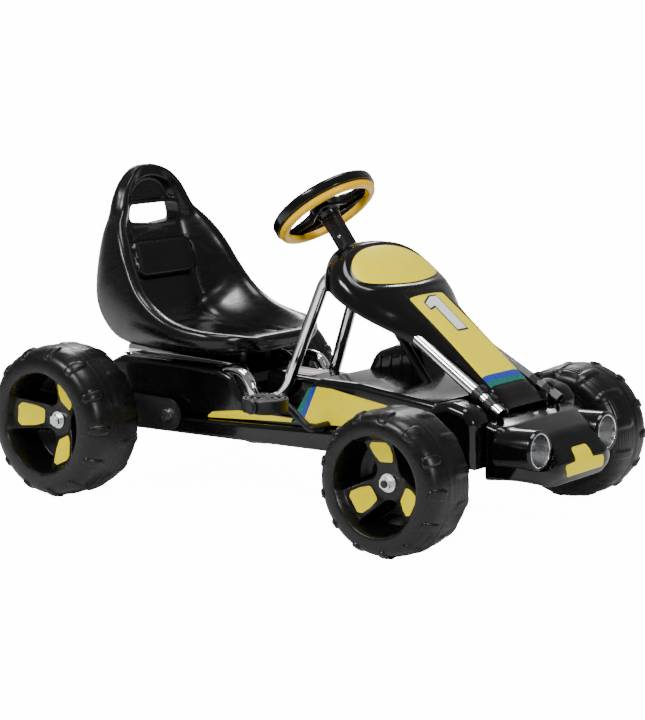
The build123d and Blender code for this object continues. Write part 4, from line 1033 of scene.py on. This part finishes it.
def add_lamp(side, label):
    front = (LAMP_FRONT, side * LAMP_Y, LAMP_Z)

    def turned(part, profile, material, slot, *replaced, segments=96):
        obj = lathe(f"lamp_{part}_{label}", profile, front, LAMP_AXIS, material, segments)
        settle(obj, "chassis", slot, *replaced)

    barrel = rounded([(-66.0, 26.5), (-66.0, 33.0), (-3.0, 31.2), (1.6, 29.4), (1.6, 26.8), (-60.0, 25.0)],
                     [0, 3, 4, 1.5, 0.8, 0], steps=5)
    turned("barrel", barrel, GLOSS, "gloss_black")
    ring = rounded([(-4.0, 24.0), (-4.0, 26.9), (1.0, 26.9), (1.0, 24.6)], [0, 0, 1.2, 1.2], steps=5)
    turned("trim", ring, CHROME, "chrome", f"lamp_ring_{label}")
    depths = np.linspace(0, 1, 22)
    bowl = [(-3.0 - 34.0 * (1 - d ** 2), 3.0 + 21.6 * d) for d in depths]
    shell = bowl + [(a - 2.0, r + 1.0) for a, r in bowl[::-1]]
    turned("dish", shell, LAMP, "lamp_grey", f"lamp_bowl_{label}")
    bulb = rounded([(-38.0, 0.2), (-38.0, 6.0), (-30.0, 5.0), (-25.0, 0.2)], [0, 1, 3, 0], steps=6)
    turned("bulb", bulb, LAMP, "lamp_grey", segments=32)


add_lamp(-1, "right")
add_lamp(1, "left")


def nose_place(z, y):
    """A point on the nose's front, from its height and its place across."""
    path = nose_profile()
    front = path[(path[:, 0] > 790.0) & (path[:, 1] > 95.0)]
    order = np.argsort(front[:, 1])
    reach = np.array([nose_reach(v) for v in np.atleast_1d(y)])
    x = np.interp(z, front[order, 1], front[order, 0])
    x = NOSE_REAR + (x - NOSE_REAR) * (reach - NOSE_REAR) / (NOSE_FRONT - NOSE_REAR)
    return np.stack([x, y, z], 1)


PLATE = rounded([(106.0, -49.0), (124.0, -54.0), (126.0, -24.0), (145.0, -22.0), (145.0, 20.0), (126.0, 24.0),
                 (124.0, 57.0), (106.0, 52.0)], [4, 5, 3, 6, 6, 3, 5, 4], steps=4)
decal("nose_plate_film", PLATE[::-1], nose_place, YELLOW, "chassis", "yellow", 0.5, 3.0, 0.8)

for side, label in ((-1, "right"), (1, "left")):
    def side_place(x, z, side=side):
        return np.stack([x, np.full_like(x, side * SIDE_Y), z], 1)

    films = {
        "green": (GREEN, [(396.0, 201.0), (403.0, 203.0), (372.5, 142.5), (359.0, 141.0)]),
        "blue": (BLUE, [(403.0, 203.0), (412.0, 204.5), (384.0, 143.5), (372.5, 142.5)]),
        "yellow": (YELLOW, [(412.0, 204.5), (440.0, 204.5), (552.0, 190.0), (474.0, 150.0), (470.0, 147.5),
                            (384.0, 143.5)]),
        "strip": (YELLOW, rounded([(176.0, 127.5), (191.0, 138.5), (248.0, 147.0), (372.0, 147.0),
                                   (360.0, 141.0), (300.0, 137.0)], [2, 9, 6, 0, 0, 0], steps=4)),
    }
    for key, (material, outline) in films.items():
        turned = outline if side < 0 else outline[::-1]
        decal(f"side_{key}_film_{label}", turned, side_place, material, "chassis", "yellow",
              0.6, 6.0, 0.8)


def tunnel_place(x, y):
    return np.stack([x, y, 204.0 - (x - 250.0) * 4.0 / 145.0], 1)


LABEL = rounded([(268.0, -26.0), (330.0, -26.0), (330.0, 26.0), (268.0, 26.0)], 4.0)
decal("tunnel_label", LABEL, tunnel_place, WHITE, "chassis", "gloss_black", FILM_LIFT)
RED = film("red_film", (0.42, 0.010, 0.012), (0.52, 0.016, 0.018))
for index, y in enumerate((-20.0, 16.0)):
    decal(f"tunnel_label_line_{index + 1}", [(272.0, y), (326.0, y), (326.0, y + 4.0), (272.0, y + 4.0)],
          tunnel_place, RED, "chassis", "gloss_black", 0.6)


# ---------------------------------------------------------------- bends at the tubes' feet

def swept(name, path, radius, material, sides=28):
    """A round bar along a smooth path."""
    path = spline(path, 60)
    ahead = np.gradient(path, axis=0)
    ahead /= np.linalg.norm(ahead, axis=1, keepdims=True)
    up = np.cross(ahead, ACROSS)
    up /= np.linalg.norm(up, axis=1, keepdims=True)
    beside = np.cross(ahead, up)
    turns = np.linspace(0, 2 * math.pi, sides, endpoint=False)
    ring = (path[:, None] + up[:, None] * (radius * np.cos(turns))[None, :, None]
            + beside[:, None] * (radius * np.sin(turns))[None, :, None])
    return loft(name, ring, material)


for side, label in ((-1, "right"), (1, "left")):
    bend = [(198.0, side * 96.0, 198.0), (222.0, side * 98.0, 210.0), (246.0, side * 99.0, 207.0),
            (261.0, side * 99.0, 192.0), (267.0, side * 97.0, 176.0), (269.0, side * 88.0, 167.5),
            (266.0, side * 70.0, 166.0)]
    settle(swept(f"tube_bend_{label}", bend, 9.6, CHROME), "chassis", "chrome")


# ---------------------------------------------------------------- pedals

def add_pedal(node):
    low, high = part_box(node)
    centre = centre_of(node)
    half_x, half_y, top = (np.array(high) - np.array(low)) / 2 * 1000 - 0.2
    corners = [(-half_x, -half_y), (half_x, -half_y), (half_x, half_y), (-half_x, half_y)]
    outline = rounded(corners, 29.0, steps=14)
    levels = [(0.10, top - 2.4), (0.16, top - 0.4), (0.24, top - 0.4), (0.28, top - 3.0), (0.38, top - 3.0),
              (0.42, top - 0.2), (0.52, top - 0.2), (0.56, top - 3.0), (0.66, top - 3.0), (0.70, top),
              (0.80, top), (0.84, top - 3.0), (0.88, top - 3.0), (0.91, top), (0.97, top), (1.0, top - 1.6)]
    rings = levels + [(0.985, top - 7.0), (0.985, -top + 7.0)]
    rings += [(scale, -z) for scale, z in reversed(levels)]
    placed = []
    for scale, z in rings:
        ring = outline * scale
        height = np.full(len(ring), centre[2] + z)
        placed.append(np.stack([centre[0] + ring[:, 0], centre[1] + ring[:, 1], height], 1))
    pedal = loft(node + "_tread", placed, SATIN, 30.0)
    settle(pedal, node, "satin_black", node)


add_pedal("pedal_right")
add_pedal("pedal_left")


# ---------------------------------------------------------------- stage

AIR_GLOW, PAPER_GLOW = 0.22, 16.0
PAPER_HALF, PAPER_BEND = 9.0, 3.4


def add_floor():
    """Bright paper that lies under the kart and sweeps up behind it."""
    turn = [(PAPER_BEND * math.sin(t), PAPER_BEND - PAPER_BEND * math.cos(t))
            for t in np.linspace(0, math.pi / 2, 13)]
    profile = [(-PAPER_HALF, 0.0)] + [(1.6 + out, up) for out, up in turn] + [(5.0, PAPER_HALF)]
    azimuth = math.radians(PHOTO_AZIMUTH)
    ahead = np.array([-math.sin(azimuth), math.cos(azimuth)])
    beside = np.array([ahead[1], -ahead[0]])
    corners = []
    for out, up in profile:
        for wide in (-PAPER_HALF, PAPER_HALF):
            place = ahead * out + beside * wide
            corners.append((place[0], place[1], up))
    faces = [(2 * k, 2 * k + 1, 2 * k + 3, 2 * k + 2) for k in range(len(profile) - 1)]
    mesh = bpy.data.meshes.new("studio_floor")
    mesh.from_pydata(corners, [], faces)
    mesh.shade_smooth()
    material, tree, shader = node_material("studio_paper")
    patches = noise(tree, 3.0, 3.0)
    paper = mix_colour(tree, patches, (0.88, 0.88, 0.88), (0.92, 0.92, 0.92))
    tree.links.new(paper, shader.inputs["Base Color"])
    tree.links.new(paper, shader.inputs["Emission Color"])
    path = tree.nodes.new("ShaderNodeLightPath")
    glow = times(tree, path.outputs["Is Camera Ray"], PAPER_GLOW)
    tree.links.new(glow, shader.inputs["Emission Strength"])
    shader.inputs["Roughness"].default_value = 0.85
    mesh.materials.append(material)
    new_object("studio_floor", mesh)


def add_world():
    """A plain pale studio all round, which the camera sees as white as the paper."""
    world = bpy.data.worlds.new("studio_air")
    world.use_nodes = True
    tree = world.node_tree
    air = tree.nodes["Background"]
    air.inputs["Color"].default_value = (1.0, 1.0, 1.0, 1.0)
    path = tree.nodes.new("ShaderNodeLightPath")
    glow = tree.nodes.new("ShaderNodeMapRange")
    glow.inputs["To Min"].default_value = AIR_GLOW
    glow.inputs["To Max"].default_value = PAPER_GLOW
    tree.links.new(path.outputs["Is Camera Ray"], glow.inputs["Value"])
    tree.links.new(glow.outputs["Result"], air.inputs["Strength"])
    bpy.context.scene.world = world


add_floor()
add_world()
